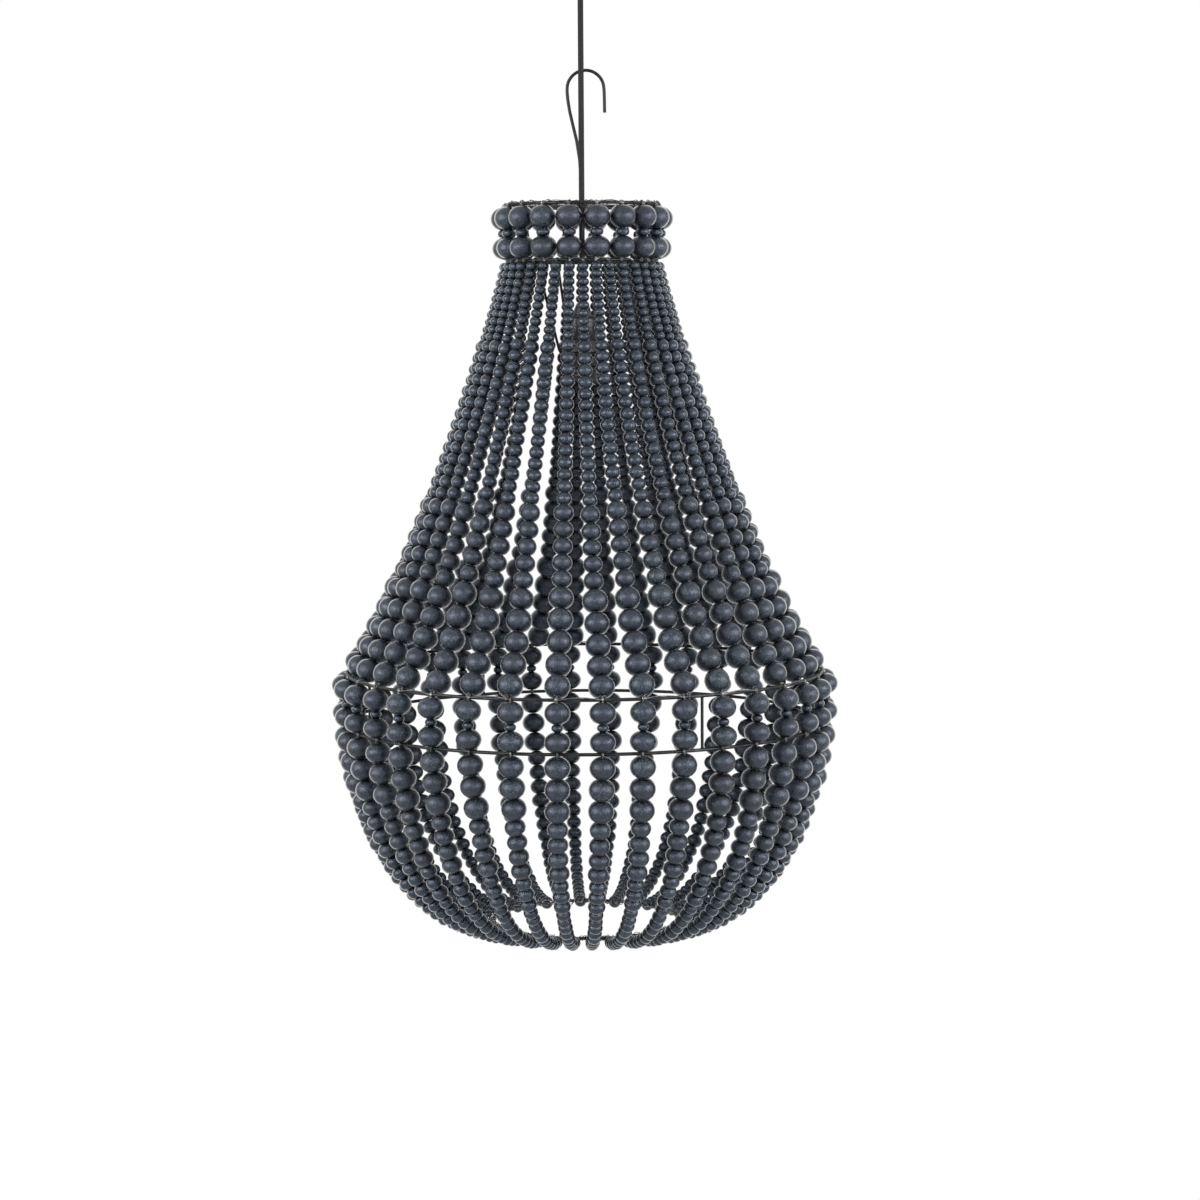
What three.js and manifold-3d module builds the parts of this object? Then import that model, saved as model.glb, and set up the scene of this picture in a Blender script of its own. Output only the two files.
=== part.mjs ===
// Beaded chandelier: bead strings threaded on wire and hung between welded wire rings, with a lamp holder
// inside, a wire hook above, and a cord up to a ceiling cup. Millimetres, +Z up. The origin is the middle
// of the face that lies against the ceiling, and everything hangs below it.

import * as THREE from 'three';
import { mergeVertices } from 'three/addons/utils/BufferGeometryUtils.js';
import Module from 'manifold-3d';

const wasm = await Module();
wasm.setup();

// Clearances
const gap = 0.3;
const overrun = 2;
const weldDepth = 0.6;

// Rings of the frame, each the radius at the middle of its wire
const ringWire = 3;
const crownRadius = 67.1;
const crownFootRadius = 64.4;
const beltRadius = 212.1;
const bottomRadius = 84.5;

// Heights between the rings, and from the ceiling to the crown's upper ring
const crownDrop = 242;
const crownHeight = 49;
const skirtHeight = 363.5;
const beltHeight = 45.5;
const bowlHeight = 181;

// Struts and arms of the frame
const strutWire = 2.6;
const crownStruts = 3;
const beltStruts = 4;
const crownStrutTurn = THREE.MathUtils.degToRad(31);
const beltStrutTurn = THREE.MathUtils.degToRad(28);
const hubRadius = 13;
const hubThickness = 2;

// Bead strings
const strandWire = 1.2;
const strandCount = 36;
const crownPhase = THREE.MathUtils.degToRad(1);
const beltPhase = THREE.MathUtils.degToRad(3.5);
const collarCount = 18;
const strandSides = 3;
const cornerShare = 1.08;
const waistShare = 0.6;
const endWaist = 3.2;
const ringClearance = 2.6;

// Bead diameters, and the step from bead to bead of each size along a string
const largeBead = 21;
const skirtLargeStep = 19.6;
const skirtMedium = 16;
const skirtMediumStep = 14.9;
const skirtSmall = 12.4;
const skirtSmallStep = 10.4;
const skirtTiny = 9.6;
const skirtTinyStep = 7.1;
const bowlLargeStep = 18.9;
const bowlMedium = 16.4;
const bowlMediumStep = 13.9;
const bowlSmall = 13.6;
const bowlSmallStep = 11.6;
const bowlTiny = 11;
const bowlTinyStep = 8.4;
const columnBead = 22;
const neckBead = 9.4;
const neckLength = 4.8;

// The sizes on each string, from its upper end down. A bulge of the solid stands for perBulge beads.
const skirtBeads = [
  { diameter: skirtTiny, pitch: skirtTinyStep, count: 10, perBulge: 5 },
  { diameter: skirtSmall, pitch: skirtSmallStep, count: 14, perBulge: 3.5 },
  { diameter: skirtMedium, pitch: skirtMediumStep, count: 5, perBulge: 1 },
  { diameter: largeBead, pitch: skirtLargeStep, count: 5, perBulge: 1 },
];
const bowlBeads = [
  { diameter: largeBead, pitch: bowlLargeStep, count: 3, perBulge: 1 },
  { diameter: bowlMedium, pitch: bowlMediumStep, count: 4, perBulge: 1 },
  { diameter: bowlSmall, pitch: bowlSmallStep, count: 3, perBulge: 3 },
  { diameter: bowlTiny, pitch: bowlTinyStep, count: 11, perBulge: 2.2 },
];

// Outline of the skirt and the bowl: how far each curve's handles reach down and lean out or in
const skirtTopDrop = 75;
const skirtTopLean = 16.4;
const skirtFootDrop = 37;
const skirtFootLean = 39;
const bowlTopDrop = 177;
const bowlTopLean = 23;
const bowlFootReach = 15;
const bowlFootDrop = 2.5;
const bowlEndReach = 5;
const bowlEndDrop = 2.6;

// Lamp holder, down from the crown's upper ring
const holderDrop = 86.6;
const glandRadius = 7.6;
const glandFace = 3.4;
const glandHeight = 9.4;
const glandBrowShare = 0.8;
const glandBrowHeightShare = 0.3;
const glandSideShare = 0.7;
const capRadius = 14;
const capHeight = 31.7;
const capWall = 1.6;
const capRoof = 15;
const collarRadius = 15;
const collarHeight = 10.7;
const threadRadius = 13.2;
const threadDepth = 0.7;
const threadPitch = 4;
const threadLength = 25;
const socketRadius = 9.2;
const socketRoof = 4;
const spigotHeight = 11;
const shellWall = 1.1;
const shellLength = 30;
const shellFloor = 2.4;
const tongueRadius = 2.2;
const tongueHeight = 2;
const tongueRootShare = 1.5;

// Spider that carries the holder, and the ring that clamps it
const spiderWire = 2.4;
const spiderArms = 3;
const spiderReach = 31;
const spiderTurn = THREE.MathUtils.degToRad(-9);
const shadeRingOuter = 18.4;
const shadeRingHeight = 8;
const shadeRingClearance = 0.4;
const shadeRingLobes = 12;
const shadeRingRib = 0.8;

// Hook, with its heights above the crown's upper ring
const hookWire = 2.5;
const hookOffset = 7.5;
const hookStem = 58;
const hookRadius = 16.5;
const hookCentreRise = 102;
const hookCentreSide = 4;
const hookTipDrop = 20;
const hookStart = THREE.MathUtils.degToRad(215);
const hookSteps = 10;
const hookCollarRadius = 2.7;
const hookCollarHeight = 1.6;
const hookHoleClearance = 0.4;

// Cord
const cordDiameter = 5;
const cordHalfSides = 5;
const cordHoleClearance = 0.8;

// Ceiling fitting
const cupRadius = 48;
const cupDepth = 42;
const cupWall = 1.2;
const cupCorner = 7;
const gripStem = 6;
const gripFlange = 9;
const gripFlangeHeight = 2.5;
const gripNut = 8.5;
const gripNutHeight = 5;
const gripNose = 4.2;
const gripNoseLength = 9;
const gripNoseRootShare = 1.4;
const bracketLength = 84;
const bracketWidth = 20;
const bracketThickness = 1.5;
const earDepth = 15;
const fixingHole = 2.3;
const fixingSpacing = 54;
const screwHead = 3.6;
const screwHeadHeight = 2.2;
const screwCrownShare = 0.7;
const screwShank = 1.8;
const screwLength = 9;
const screwDrop = 8;
const screwClearance = 0.35;
const blockLength = 27;
const blockWidth = 15;
const blockHeight = 18;
const blockHole = 1.6;
const blockPoles = 3;

// Heights that follow from the sizes above. Pendant heights are below the crown's upper ring.
const crownFoot = -crownHeight;
const beltTop = crownFoot - skirtHeight;
const beltFoot = beltTop - beltHeight;
const bottomHeight = beltFoot - bowlHeight;
const ringFlat = (ringWire / 2) * Math.cos(Math.PI / 4);
const tieFlat = ringFlat + gap + strandWire / 2;
const tieRadius = tieFlat / Math.cos(Math.PI / 4);
const strandStep = (2 * Math.PI) / strandCount;
const holderTop = -holderDrop;
const capFoot = holderTop - capHeight;
const collarTop = capFoot - gap;
const collarFoot = collarTop - collarHeight;
const holderMouth = collarFoot - threadLength;
const eyeRadius = threadRadius + 2 * gap + spiderWire / 2;
const eyeHeight = collarFoot - gap - spiderWire / 2;
const gripEnd = -cupDepth - gap - gripNutHeight - gripNoseLength;

// Materials
const beadPaint = new THREE.MeshStandardMaterial({ color: '#40464c', roughness: 0.62, metalness: 0 });
const ringPaint = new THREE.MeshStandardMaterial({ color: '#1b1a1a', roughness: 0.5, metalness: 0.6 });
const hookSteel = new THREE.MeshStandardMaterial({ color: '#151515', roughness: 0.4, metalness: 0.6 });
const bakelite = new THREE.MeshStandardMaterial({ color: '#1d1f22', roughness: 0.35, metalness: 0 });
const cordSheath = new THREE.MeshStandardMaterial({ color: '#2a2b2e', roughness: 0.55, metalness: 0 });
const cupPaint = new THREE.MeshStandardMaterial({ color: '#26282b', roughness: 0.6, metalness: 0.2 });
const brass = new THREE.MeshStandardMaterial({ color: '#b08d4c', roughness: 0.35, metalness: 1 });
const zinc = new THREE.MeshStandardMaterial({ color: '#a8abad', roughness: 0.4, metalness: 1 });
const blockPlastic = new THREE.MeshStandardMaterial({ color: '#e6e4dc', roughness: 0.5, metalness: 0 });

function named(name, geometry, material) {
  const mesh = new THREE.Mesh(geometry, material);
  mesh.name = name;
  return mesh;
}

// Joining and cutting of closed meshes

function toSolid(geometry) {
  const bare = new THREE.BufferGeometry();
  bare.setAttribute('position', geometry.getAttribute('position'));
  if (geometry.index) bare.setIndex(geometry.index);
  const merged = mergeVertices(bare);
  return new wasm.Manifold(
    new wasm.Mesh({
      numProp: 3,
      vertProperties: new Float32Array(merged.getAttribute('position').array),
      triVerts: new Uint32Array(merged.index.array),
    }),
  );
}

function toGeometry(solid) {
  const mesh = solid.getMesh();
  const geometry = new THREE.BufferGeometry();
  geometry.setAttribute('position', new THREE.BufferAttribute(mesh.vertProperties, mesh.numProp));
  geometry.setIndex(new THREE.BufferAttribute(mesh.triVerts, 1));
  return geometry;
}

function joined(geometries) {
  return toGeometry(geometries.map(toSolid).reduce((whole, piece) => whole.add(piece)));
}

function cut(geometry, tools) {
  return toGeometry(tools.map(toSolid).reduce((whole, tool) => whole.subtract(tool), toSolid(geometry)));
}

// Shapes

function around(radius, angle, height) {
  return new THREE.Vector3(radius * Math.cos(angle), radius * Math.sin(angle), height);
}

// A closed solid with a polygon section, swept through stations that each hold a point and a radius
function swept(stations, sides, firstNormal) {
  const last = stations.length - 1;
  const legs = stations.slice(1).map((s, i) => s.point.clone().sub(stations[i].point).normalize());
  const positions = [];
  const index = [];
  let normal = firstNormal.clone();
  stations.forEach((station, i) => {
    const before = legs[Math.max(i - 1, 0)];
    const after = legs[Math.min(i, last - 1)];
    const tangent = before.clone().add(after).normalize();
    normal.addScaledVector(tangent, -normal.dot(tangent)).normalize();
    const side = tangent.clone().cross(normal);
    for (let k = 0; k < sides; k += 1) {
      const angle = (2 * Math.PI * k) / sides;
      const corner = station.point.clone();
      corner.addScaledVector(normal, station.radius * Math.cos(angle));
      corner.addScaledVector(side, station.radius * Math.sin(angle));
      positions.push(corner.x, corner.y, corner.z);
    }
  });
  for (let i = 0; i < last; i += 1) {
    for (let k = 0; k < sides; k += 1) {
      const a = i * sides + k;
      const b = i * sides + ((k + 1) % sides);
      index.push(a, b, b + sides, a, b + sides, a + sides);
    }
  }
  for (let k = 1; k < sides - 1; k += 1) {
    index.push(0, k + 1, k);
    index.push(last * sides, last * sides + k, last * sides + k + 1);
  }
  const geometry = new THREE.BufferGeometry();
  geometry.setAttribute('position', new THREE.Float32BufferAttribute(positions, 3));
  geometry.setIndex(index);
  return geometry;
}

function wireRing(radius, height, wire, segments, turn) {
  const ring = new THREE.TorusGeometry(radius, wire / 2, 4, segments);
  ring.rotateZ(turn);
  ring.translate(0, 0, height);
  return ring;
}

function wire(points, diameter, sides, firstNormal) {
  return swept(points.map((point) => ({ point, radius: diameter / 2 })), sides, firstNormal);
}

function rod(radius, height, top, segments) {
  const cylinder = new THREE.CylinderGeometry(radius, radius, height, segments);
  cylinder.rotateX(Math.PI / 2);
  cylinder.translate(0, 0, top - height / 2);
  return cylinder;
}

function box(length, width, height, top) {
  const block = new THREE.BoxGeometry(length, width, height);
  block.translate(0, 0, top - height / 2);
  return block;
}

// A turned piece. The outline is a list of [radius, height], and starts and ends on the axis or closes on
// itself.
function turned(outline, segments) {
  const points = outline.map(([radius, height]) => new THREE.Vector2(radius, height));
  const geometry = new THREE.LatheGeometry(points, segments);
  geometry.rotateX(Math.PI / 2);
  return geometry;
}

// Bead strings

// Stations of one stretch of beads along a curve in the plane of radius and height. The steps are stretched
// alike, so that the beads fill the curve from its start to its end.
function beadStations(curve, start, tiers) {
  const total = curve.getLength();
  const beaded = tiers.reduce((sum, tier) => sum + tier.pitch * tier.count, 0);
  const fit = (total - start) / beaded;
  const stations = [];
  let run = start;
  tiers.forEach((tier, i) => {
    const bulges = Math.max(1, Math.round(tier.count / tier.perBulge));
    const length = (fit * tier.pitch * tier.count) / bulges;
    for (let k = 0; k < bulges; k += 1) {
      const thinner = k === 0 && i > 0 ? Math.min(tier.diameter, tiers[i - 1].diameter) : tier.diameter;
      const first = k === 0 && i === 0;
      const waist = first ? endWaist / 2 : (thinner / 2) * waistShare;
      stations.push({ at: curve.getPointAt(run / total), radius: waist });
      stations.push({ at: curve.getPointAt((run + length / 2) / total), radius: tier.diameter / 2 });
      run += length;
    }
  });
  stations.push({ at: curve.getPointAt(1), radius: endWaist / 2 });
  return stations;
}

// A column of a large, a small and a large bead between two rings
function columnStations(top, foot) {
  const length = top.distanceTo(foot);
  const bead = (length - 2 * ringClearance - neckLength) / 2;
  const lower = bead + neckLength;
  const runs = [0, bead / 2, bead, lower, lower + bead / 2, lower + bead];
  const diameters = [endWaist, columnBead, neckBead, neckBead, columnBead, endWaist];
  return runs.map((run, i) => ({
    at: top.clone().lerp(foot, (ringClearance + run) / length),
    radius: diameters[i] / 2,
  }));
}

function tieStation(ringRadius, ringHeight, turn, reach = tieRadius) {
  const at = new THREE.Vector2(ringRadius + reach * Math.cos(turn), ringHeight + reach * Math.sin(turn));
  return { at, radius: strandWire / 2 };
}

// The wire's end passes over a ring, or under it, to the ring's inner side
function tieEnd(ringRadius, ringHeight, side) {
  return [
    tieStation(ringRadius, ringHeight, (side * Math.PI) / 2),
    tieStation(ringRadius, ringHeight, Math.PI),
  ];
}

// Two strings on one wire, which is hung over a ring between them. A skirt string leans sideways a little
// on its way down, because the belt is turned against the crown.
function strandPair(leg, firstAngle, secondAngle, ringRadius, ringHeight, facing) {
  const placed = (angle) =>
    leg.map(({ at, radius: round }) => {
      const radius = round * cornerShare;
      const fallShare = THREE.MathUtils.clamp((crownFoot - at.y) / skirtHeight, 0, 1);
      const turn = ringHeight === beltTop ? 0 : fallShare * (beltPhase - crownPhase);
      return { point: around(at.x, angle + turn, at.y), radius };
    });
  const sag = ringRadius * (1 - Math.cos((secondAngle - firstAngle) / 4));
  const over = {
    point: around(ringRadius + sag, (firstAngle + secondAngle) / 2, ringHeight + tieRadius + sag),
    radius: strandWire / 2,
  };
  const stations = [...placed(firstAngle).reverse(), over, ...placed(secondAngle)];
  return swept(stations, strandSides, around(facing, firstAngle, 0));
}

// A skirt string ends on the inner side of the belt's upper ring, with its wire bent in under it
function skirtLeg() {
  const top = new THREE.Vector2(crownFootRadius + tieRadius, crownFoot);
  const foot = new THREE.Vector2(beltRadius - tieRadius, beltTop + ringClearance);
  const curve = new THREE.CubicBezierCurve(
    top,
    new THREE.Vector2(top.x + skirtTopLean, top.y - skirtTopDrop),
    new THREE.Vector2(foot.x - skirtFootLean, foot.y + skirtFootDrop),
    foot,
  );
  return [
    tieStation(crownFootRadius, crownFoot, 0),
    ...beadStations(curve, ringClearance, skirtBeads),
    tieStation(beltRadius, beltTop, Math.PI),
    tieStation(beltRadius, beltTop, (5 * Math.PI) / 4, tieFlat),
  ];
}

function bowlLeg() {
  const radius = beltRadius + tieRadius;
  const top = new THREE.Vector2(radius, beltFoot);
  const end = new THREE.Vector2(bottomRadius + bowlEndReach, bottomHeight - bowlEndDrop);
  const curve = new THREE.CubicBezierCurve(
    top,
    new THREE.Vector2(top.x - bowlTopLean, top.y - bowlTopDrop),
    new THREE.Vector2(end.x + bowlFootReach, end.y - bowlFootDrop),
    end,
  );
  return [
    tieStation(beltRadius, beltTop, 0),
    ...columnStations(new THREE.Vector2(radius, beltTop), top),
    tieStation(beltRadius, beltFoot, 0),
    ...beadStations(curve, ringClearance, bowlBeads),
    ...tieEnd(bottomRadius, bottomHeight, -1),
  ];
}

function collarLeg() {
  const top = new THREE.Vector2(crownRadius + tieRadius, 0);
  const foot = new THREE.Vector2(crownFootRadius + tieRadius, crownFoot);
  return [
    tieStation(crownRadius, 0, 0),
    ...columnStations(top, foot),
    ...tieEnd(crownFootRadius, crownFoot, 1),
  ];
}

// Facing is the side to which a corner of the first section points: outward if it is 1, inward if it is -1.
// A wire that ends under its ring turns round on its way up.
function beadPairs(name, leg, count, turn, ringRadius, ringHeight, facing) {
  const pairs = new THREE.Group();
  const step = (2 * Math.PI) / count;
  for (let k = 0; k < count / 2; k += 1) {
    const first = turn + 2 * k * step;
    const geometry = strandPair(leg, first, first + step, ringRadius, ringHeight, facing);
    pairs.add(named(`${name}_${String(k + 1).padStart(2, '0')}`, geometry, beadPaint));
  }
  return pairs;
}

// Welded frames

function crownFrame() {
  const step = (2 * Math.PI) / crownStruts;
  const turns = Array.from({ length: crownStruts }, (_, k) => crownStrutTurn + step * k);
  const inset = ringWire / 2 + strutWire / 2 - weldDepth;
  const bent = turns.map((angle) =>
    wire(
      [
        around(hubRadius - weldDepth, angle, 0),
        around(crownRadius - inset, angle, 0),
        around(crownFootRadius - inset, angle, crownFoot),
      ],
      strutWire,
      6,
      new THREE.Vector3(-Math.sin(angle), Math.cos(angle), 0),
    ),
  );
  const hub = rod(hubRadius, hubThickness, hubThickness / 2, 16);
  const cordHole = rod(cordDiameter / 2 + cordHoleClearance, hubThickness + overrun, overrun, 12);
  const stemHole = rod(hookWire / 2 + hookHoleClearance, hubThickness + overrun, overrun, 12);
  stemHole.translate(0, hookOffset, 0);
  const upper = wireRing(crownRadius, 0, ringWire, strandCount, crownPhase);
  const lower = wireRing(crownFootRadius, crownFoot, ringWire, strandCount, crownPhase);
  return cut(joined([upper, lower, ...bent, hub]), [cordHole, stemHole]);
}

function beltFrame() {
  const inner = beltRadius - ringWire / 2 - strutWire / 2 + weldDepth;
  const chordShare = Math.cos(strandStep / 2);
  const struts = Array.from({ length: beltStruts }, (_, k) => {
    const angle = beltStrutTurn + (2 * Math.PI * k) / beltStruts;
    const ends = [beltTop, beltFoot].map((height) => around(inner * chordShare, angle, height));
    return wire(ends, strutWire, 6, around(1, angle, 0));
  });
  const rings = [beltTop, beltFoot].map((height) =>
    wireRing(beltRadius, height, ringWire, strandCount, beltPhase),
  );
  return joined([...rings, ...struts]);
}

function lampSpider() {
  const eye = wireRing(eyeRadius, eyeHeight, spiderWire, 24, spiderTurn);
  const outer = crownFootRadius - ringWire / 2 - gap - spiderWire / 2;
  const arms = Array.from({ length: spiderArms }, (_, k) => {
    const angle = spiderTurn + (2 * Math.PI * k) / spiderArms;
    const points = [
      around(eyeRadius, angle, eyeHeight),
      around(spiderReach, angle, eyeHeight),
      around(outer, angle, crownFoot - ringWire),
      around(outer, angle, crownFoot + ringWire / 2),
    ];
    return wire(points, spiderWire, 6, new THREE.Vector3(-Math.sin(angle), Math.cos(angle), 0));
  });
  return joined([eye, ...arms]);
}

function hangingHook() {
  const radius = hookWire / 2;
  const hubTop = hubThickness / 2;
  const at = (x, z, r) => ({ point: new THREE.Vector3(x, hookOffset, z), radius: r });
  const stations = [
    at(0, -hubTop - gap - hookCollarHeight, hookCollarRadius),
    at(0, -hubTop - gap, hookCollarRadius),
    at(0, -hubTop, radius),
    at(0, hubTop, radius),
    at(0, hubTop + gap, hookCollarRadius),
    at(0, hubTop + gap + hookCollarHeight, hookCollarRadius),
    at(0, hubTop + gap + 2 * hookCollarHeight, radius),
    at(0, hookStem, radius),
  ];
  for (let k = 0; k <= hookSteps; k += 1) {
    const angle = hookStart * (1 - k / hookSteps);
    const x = hookCentreSide + hookRadius * Math.cos(angle);
    stations.push(at(x, hookCentreRise + hookRadius * Math.sin(angle), radius));
  }
  stations.push(at(hookCentreSide + hookRadius, hookCentreRise - hookTipDrop, radius));
  return swept(stations, 6, new THREE.Vector3(0, 1, 0));
}

// Lamp holder

function holderCap() {
  const inner = capRadius - capWall;
  return turned(
    [
      [0, holderTop],
      [glandFace, holderTop],
      [glandRadius * glandBrowShare, holderTop - glandHeight * glandBrowHeightShare],
      [glandRadius, holderTop - glandHeight * glandSideShare],
      [glandRadius, holderTop - glandHeight],
      [capRadius - capWall, holderTop - glandHeight - capWall],
      [capRadius, holderTop - glandHeight - 2 * capWall],
      [capRadius, capFoot],
      [inner, capFoot],
      [inner, holderTop - capRoof],
      [0, holderTop - capRoof],
    ].reverse(),
    16,
  );
}

function holderBody() {
  const spigot = capRadius - capWall - gap;
  const top = collarTop + spigotHeight;
  const outline = [
    [0, top],
    [spigot, top],
    [spigot, collarTop],
    [collarRadius, collarTop],
    [collarRadius, collarFoot],
    [threadRadius - threadDepth, collarFoot],
  ];
  const turns = Math.floor((threadLength - shadeRingHeight) / threadPitch);
  for (let k = 0; k < turns; k += 1) {
    const crest = holderMouth + threadPitch * (turns - k - 1 / 2);
    outline.push([threadRadius - threadDepth, crest + threadPitch / 4]);
    outline.push([threadRadius, crest]);
    outline.push([threadRadius - threadDepth, crest - threadPitch / 4]);
  }
  outline.push([threadRadius - threadDepth, holderMouth]);
  outline.push([socketRadius, holderMouth]);
  outline.push([socketRadius, top - socketRoof]);
  outline.push([0, top - socketRoof]);
  return turned(outline.reverse(), 16);
}

function contactInsert() {
  const top = collarTop + spigotHeight - socketRoof - gap;
  const outer = socketRadius - gap;
  const inner = outer - shellWall;
  const outline = [
    [0, top],
    [outer, top],
    [outer, top - shellLength],
    [inner, top - shellLength],
    [inner, top - shellFloor],
    [tongueRadius * tongueRootShare, top - shellFloor],
    [tongueRadius, top - shellFloor - tongueHeight],
    [0, top - shellFloor - tongueHeight],
  ];
  return turned(outline.reverse(), 16);
}

function shadeRing() {
  const outline = new THREE.Shape();
  const points = 2 * shadeRingLobes;
  for (let k = 0; k < points; k += 1) {
    const radius = shadeRingOuter - (k % 2) * shadeRingRib;
    const angle = (2 * Math.PI * k) / points;
    const place = [radius * Math.cos(angle), radius * Math.sin(angle)];
    if (k === 0) outline.moveTo(...place);
    else outline.lineTo(...place);
  }
  outline.closePath();
  const bore = new THREE.Path();
  bore.absarc(0, 0, threadRadius + shadeRingClearance, 0, 2 * Math.PI, true);
  outline.holes.push(bore);
  const ring = new THREE.ExtrudeGeometry(outline, {
    depth: shadeRingHeight,
    bevelEnabled: false,
    curveSegments: 24,
  });
  ring.translate(0, 0, eyeHeight - spiderWire / 2 - gap - shadeRingHeight);
  return ring;
}

// Cord: straight and taut, from the grip's nose down through the crown's hub to the holder's gland. The
// points are its route, in heights below the ceiling.
const cordRoute = [
  [0, 0, -57.1], [0, 0, -75], [0, 0, -94], [0, 0, -113], [0, 0, -132], [0, 0, -151], [0, 0, -170],
  [0, 0, -189], [0, 0, -208], [0, 0, -227], [0, 0, -246], [0, 0, -265], [0, 0, -284], [0, 0, -303],
  [0, 0, -316], [0, 0, -328.3],
];

function cordSolid() {
  const section = new THREE.Shape();
  section.absarc(0, 0, cordDiameter / 2, 0, 2 * Math.PI, false);
  const route = new THREE.CatmullRomCurve3(cordRoute.map((place) => new THREE.Vector3(...place)));
  return new THREE.ExtrudeGeometry(section, {
    steps: cordRoute.length - 1,
    extrudePath: route,
    curveSegments: cordHalfSides,
    bevelEnabled: false,
  });
}

// Ceiling fitting

function canopyCup() {
  const outline = [];
  const inner = cupRadius - cupWall;
  const arc = [0, 1 / 2, 1].map((share) => (share * Math.PI) / 2);
  outline.push([cupRadius, -gap]);
  arc.forEach((angle) => {
    const radius = cupRadius - cupCorner + cupCorner * Math.cos(angle);
    outline.push([radius, -cupDepth + cupCorner - cupCorner * Math.sin(angle)]);
  });
  outline.push([gripStem + gap, -cupDepth]);
  outline.push([gripStem + gap, -cupDepth + cupWall]);
  arc.reverse().forEach((angle) => {
    const radius = cupRadius - cupCorner + (cupCorner - cupWall) * Math.cos(angle);
    outline.push([radius, -cupDepth + cupCorner - (cupCorner - cupWall) * Math.sin(angle)]);
  });
  outline.push([inner, -gap]);
  outline.push([cupRadius, -gap]);
  const shell = turned(outline.reverse(), 24);
  const screwHole = rod(screwShank + screwClearance, 2 * overrun + cupWall, 0, 8);
  return cut(shell, [sideways(screwHole, cupRadius + overrun)]);
}

// Turns a rod along +X, ending at that distance from the axis, at the canopy screw's height
function sideways(geometry, end) {
  geometry.rotateY(Math.PI / 2);
  geometry.translate(end, 0, -screwDrop);
  return geometry;
}

function cordGrip() {
  const top = -bracketThickness - gap - blockHeight - gap;
  const floor = -cupDepth + cupWall + gap;
  const under = -cupDepth - gap;
  const outline = [
    [0, top],
    [cordDiameter / 2, top],
    [cordDiameter / 2, floor + gripFlangeHeight],
    [gripFlange, floor + gripFlangeHeight],
    [gripFlange, floor],
    [gripStem, floor],
    [gripStem, under],
    [gripNut, under],
    [gripNut, under - gripNutHeight],
    [gripNose * gripNoseRootShare, under - gripNutHeight],
    [gripNose, gripEnd],
    [0, gripEnd],
  ];
  return turned(outline.reverse(), 12);
}

function ceilingBracket() {
  const plate = box(bracketLength, bracketWidth, bracketThickness, 0);
  const ears = [1, -1].map((side) => {
    const ear = box(bracketThickness, bracketWidth, earDepth, 0);
    ear.translate((side * (bracketLength - bracketThickness)) / 2, 0, 0);
    return ear;
  });
  const holes = [1, -1].map((side) => {
    const hole = rod(fixingHole, bracketThickness + 2 * overrun, overrun, 12);
    hole.translate((side * fixingSpacing) / 2, 0, 0);
    return hole;
  });
  const tap = rod(screwShank + screwClearance, 2 * overrun + bracketThickness, 0, 12);
  return cut(joined([plate, ...ears]), [...holes, sideways(tap, bracketLength / 2 + overrun)]);
}

function canopyScrew() {
  const end = cupRadius + gap + screwHeadHeight;
  const outline = [
    [0, 0],
    [screwHead * screwCrownShare, 0],
    [screwHead, -screwHeadHeight / 2],
    [screwHead, -screwHeadHeight],
    [screwShank, -screwHeadHeight],
    [screwShank, -screwHeadHeight - screwLength],
    [0, -screwHeadHeight - screwLength],
  ];
  return sideways(turned(outline.reverse(), 12), end);
}

function terminalBlock() {
  const top = -bracketThickness - gap;
  const block = box(blockLength, blockWidth, blockHeight, top);
  const step = blockLength / blockPoles;
  const holes = Array.from({ length: blockPoles }, (_, k) => {
    const hole = rod(blockHole, blockWidth + 2 * overrun, 0, 10);
    hole.rotateX(Math.PI / 2);
    hole.translate(step * (k - (blockPoles - 1) / 2), -blockWidth / 2 - overrun, top - blockHeight / 2);
    return hole;
  });
  return cut(block, holes);
}

// Assembly

const fitting = new THREE.Group();
fitting.add(
  named('ceiling_bracket', ceilingBracket(), zinc),
  named('canopy_cup', canopyCup(), cupPaint),
  named('canopy_screw', canopyScrew(), zinc),
  named('terminal_block', terminalBlock(), blockPlastic),
  named('cord_grip', cordGrip(), bakelite),
);

const pendant = new THREE.Group();
pendant.position.set(0, 0, -crownDrop);
pendant.add(
  named('crown_frame', crownFrame(), ringPaint),
  named('belt_frame', beltFrame(), ringPaint),
  named('bottom_ring', wireRing(bottomRadius, bottomHeight, ringWire, strandCount, beltPhase), ringPaint),
  named('lamp_spider', lampSpider(), ringPaint),
  named('hanging_hook', hangingHook(), hookSteel),
  named('holder_cap', holderCap(), bakelite),
  named('holder_body', holderBody(), bakelite),
  named('contact_insert', contactInsert(), brass),
  named('shade_ring', shadeRing(), bakelite),
  beadPairs('collar_beads', collarLeg(), collarCount, crownPhase, crownRadius, 0, -1),
  beadPairs('upper_strands', skirtLeg(), strandCount, crownPhase, crownFootRadius, crownFoot, 1),
  beadPairs('lower_strands', bowlLeg(), strandCount, beltPhase, beltRadius, beltTop, -1),
);

const chandelier = new THREE.Group();
chandelier.add(fitting, named('cord', cordSolid(), cordSheath), pendant);

export default chandelier;
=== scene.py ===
import math

import bpy
import numpy as np
from mathutils import Matrix, Vector


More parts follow.
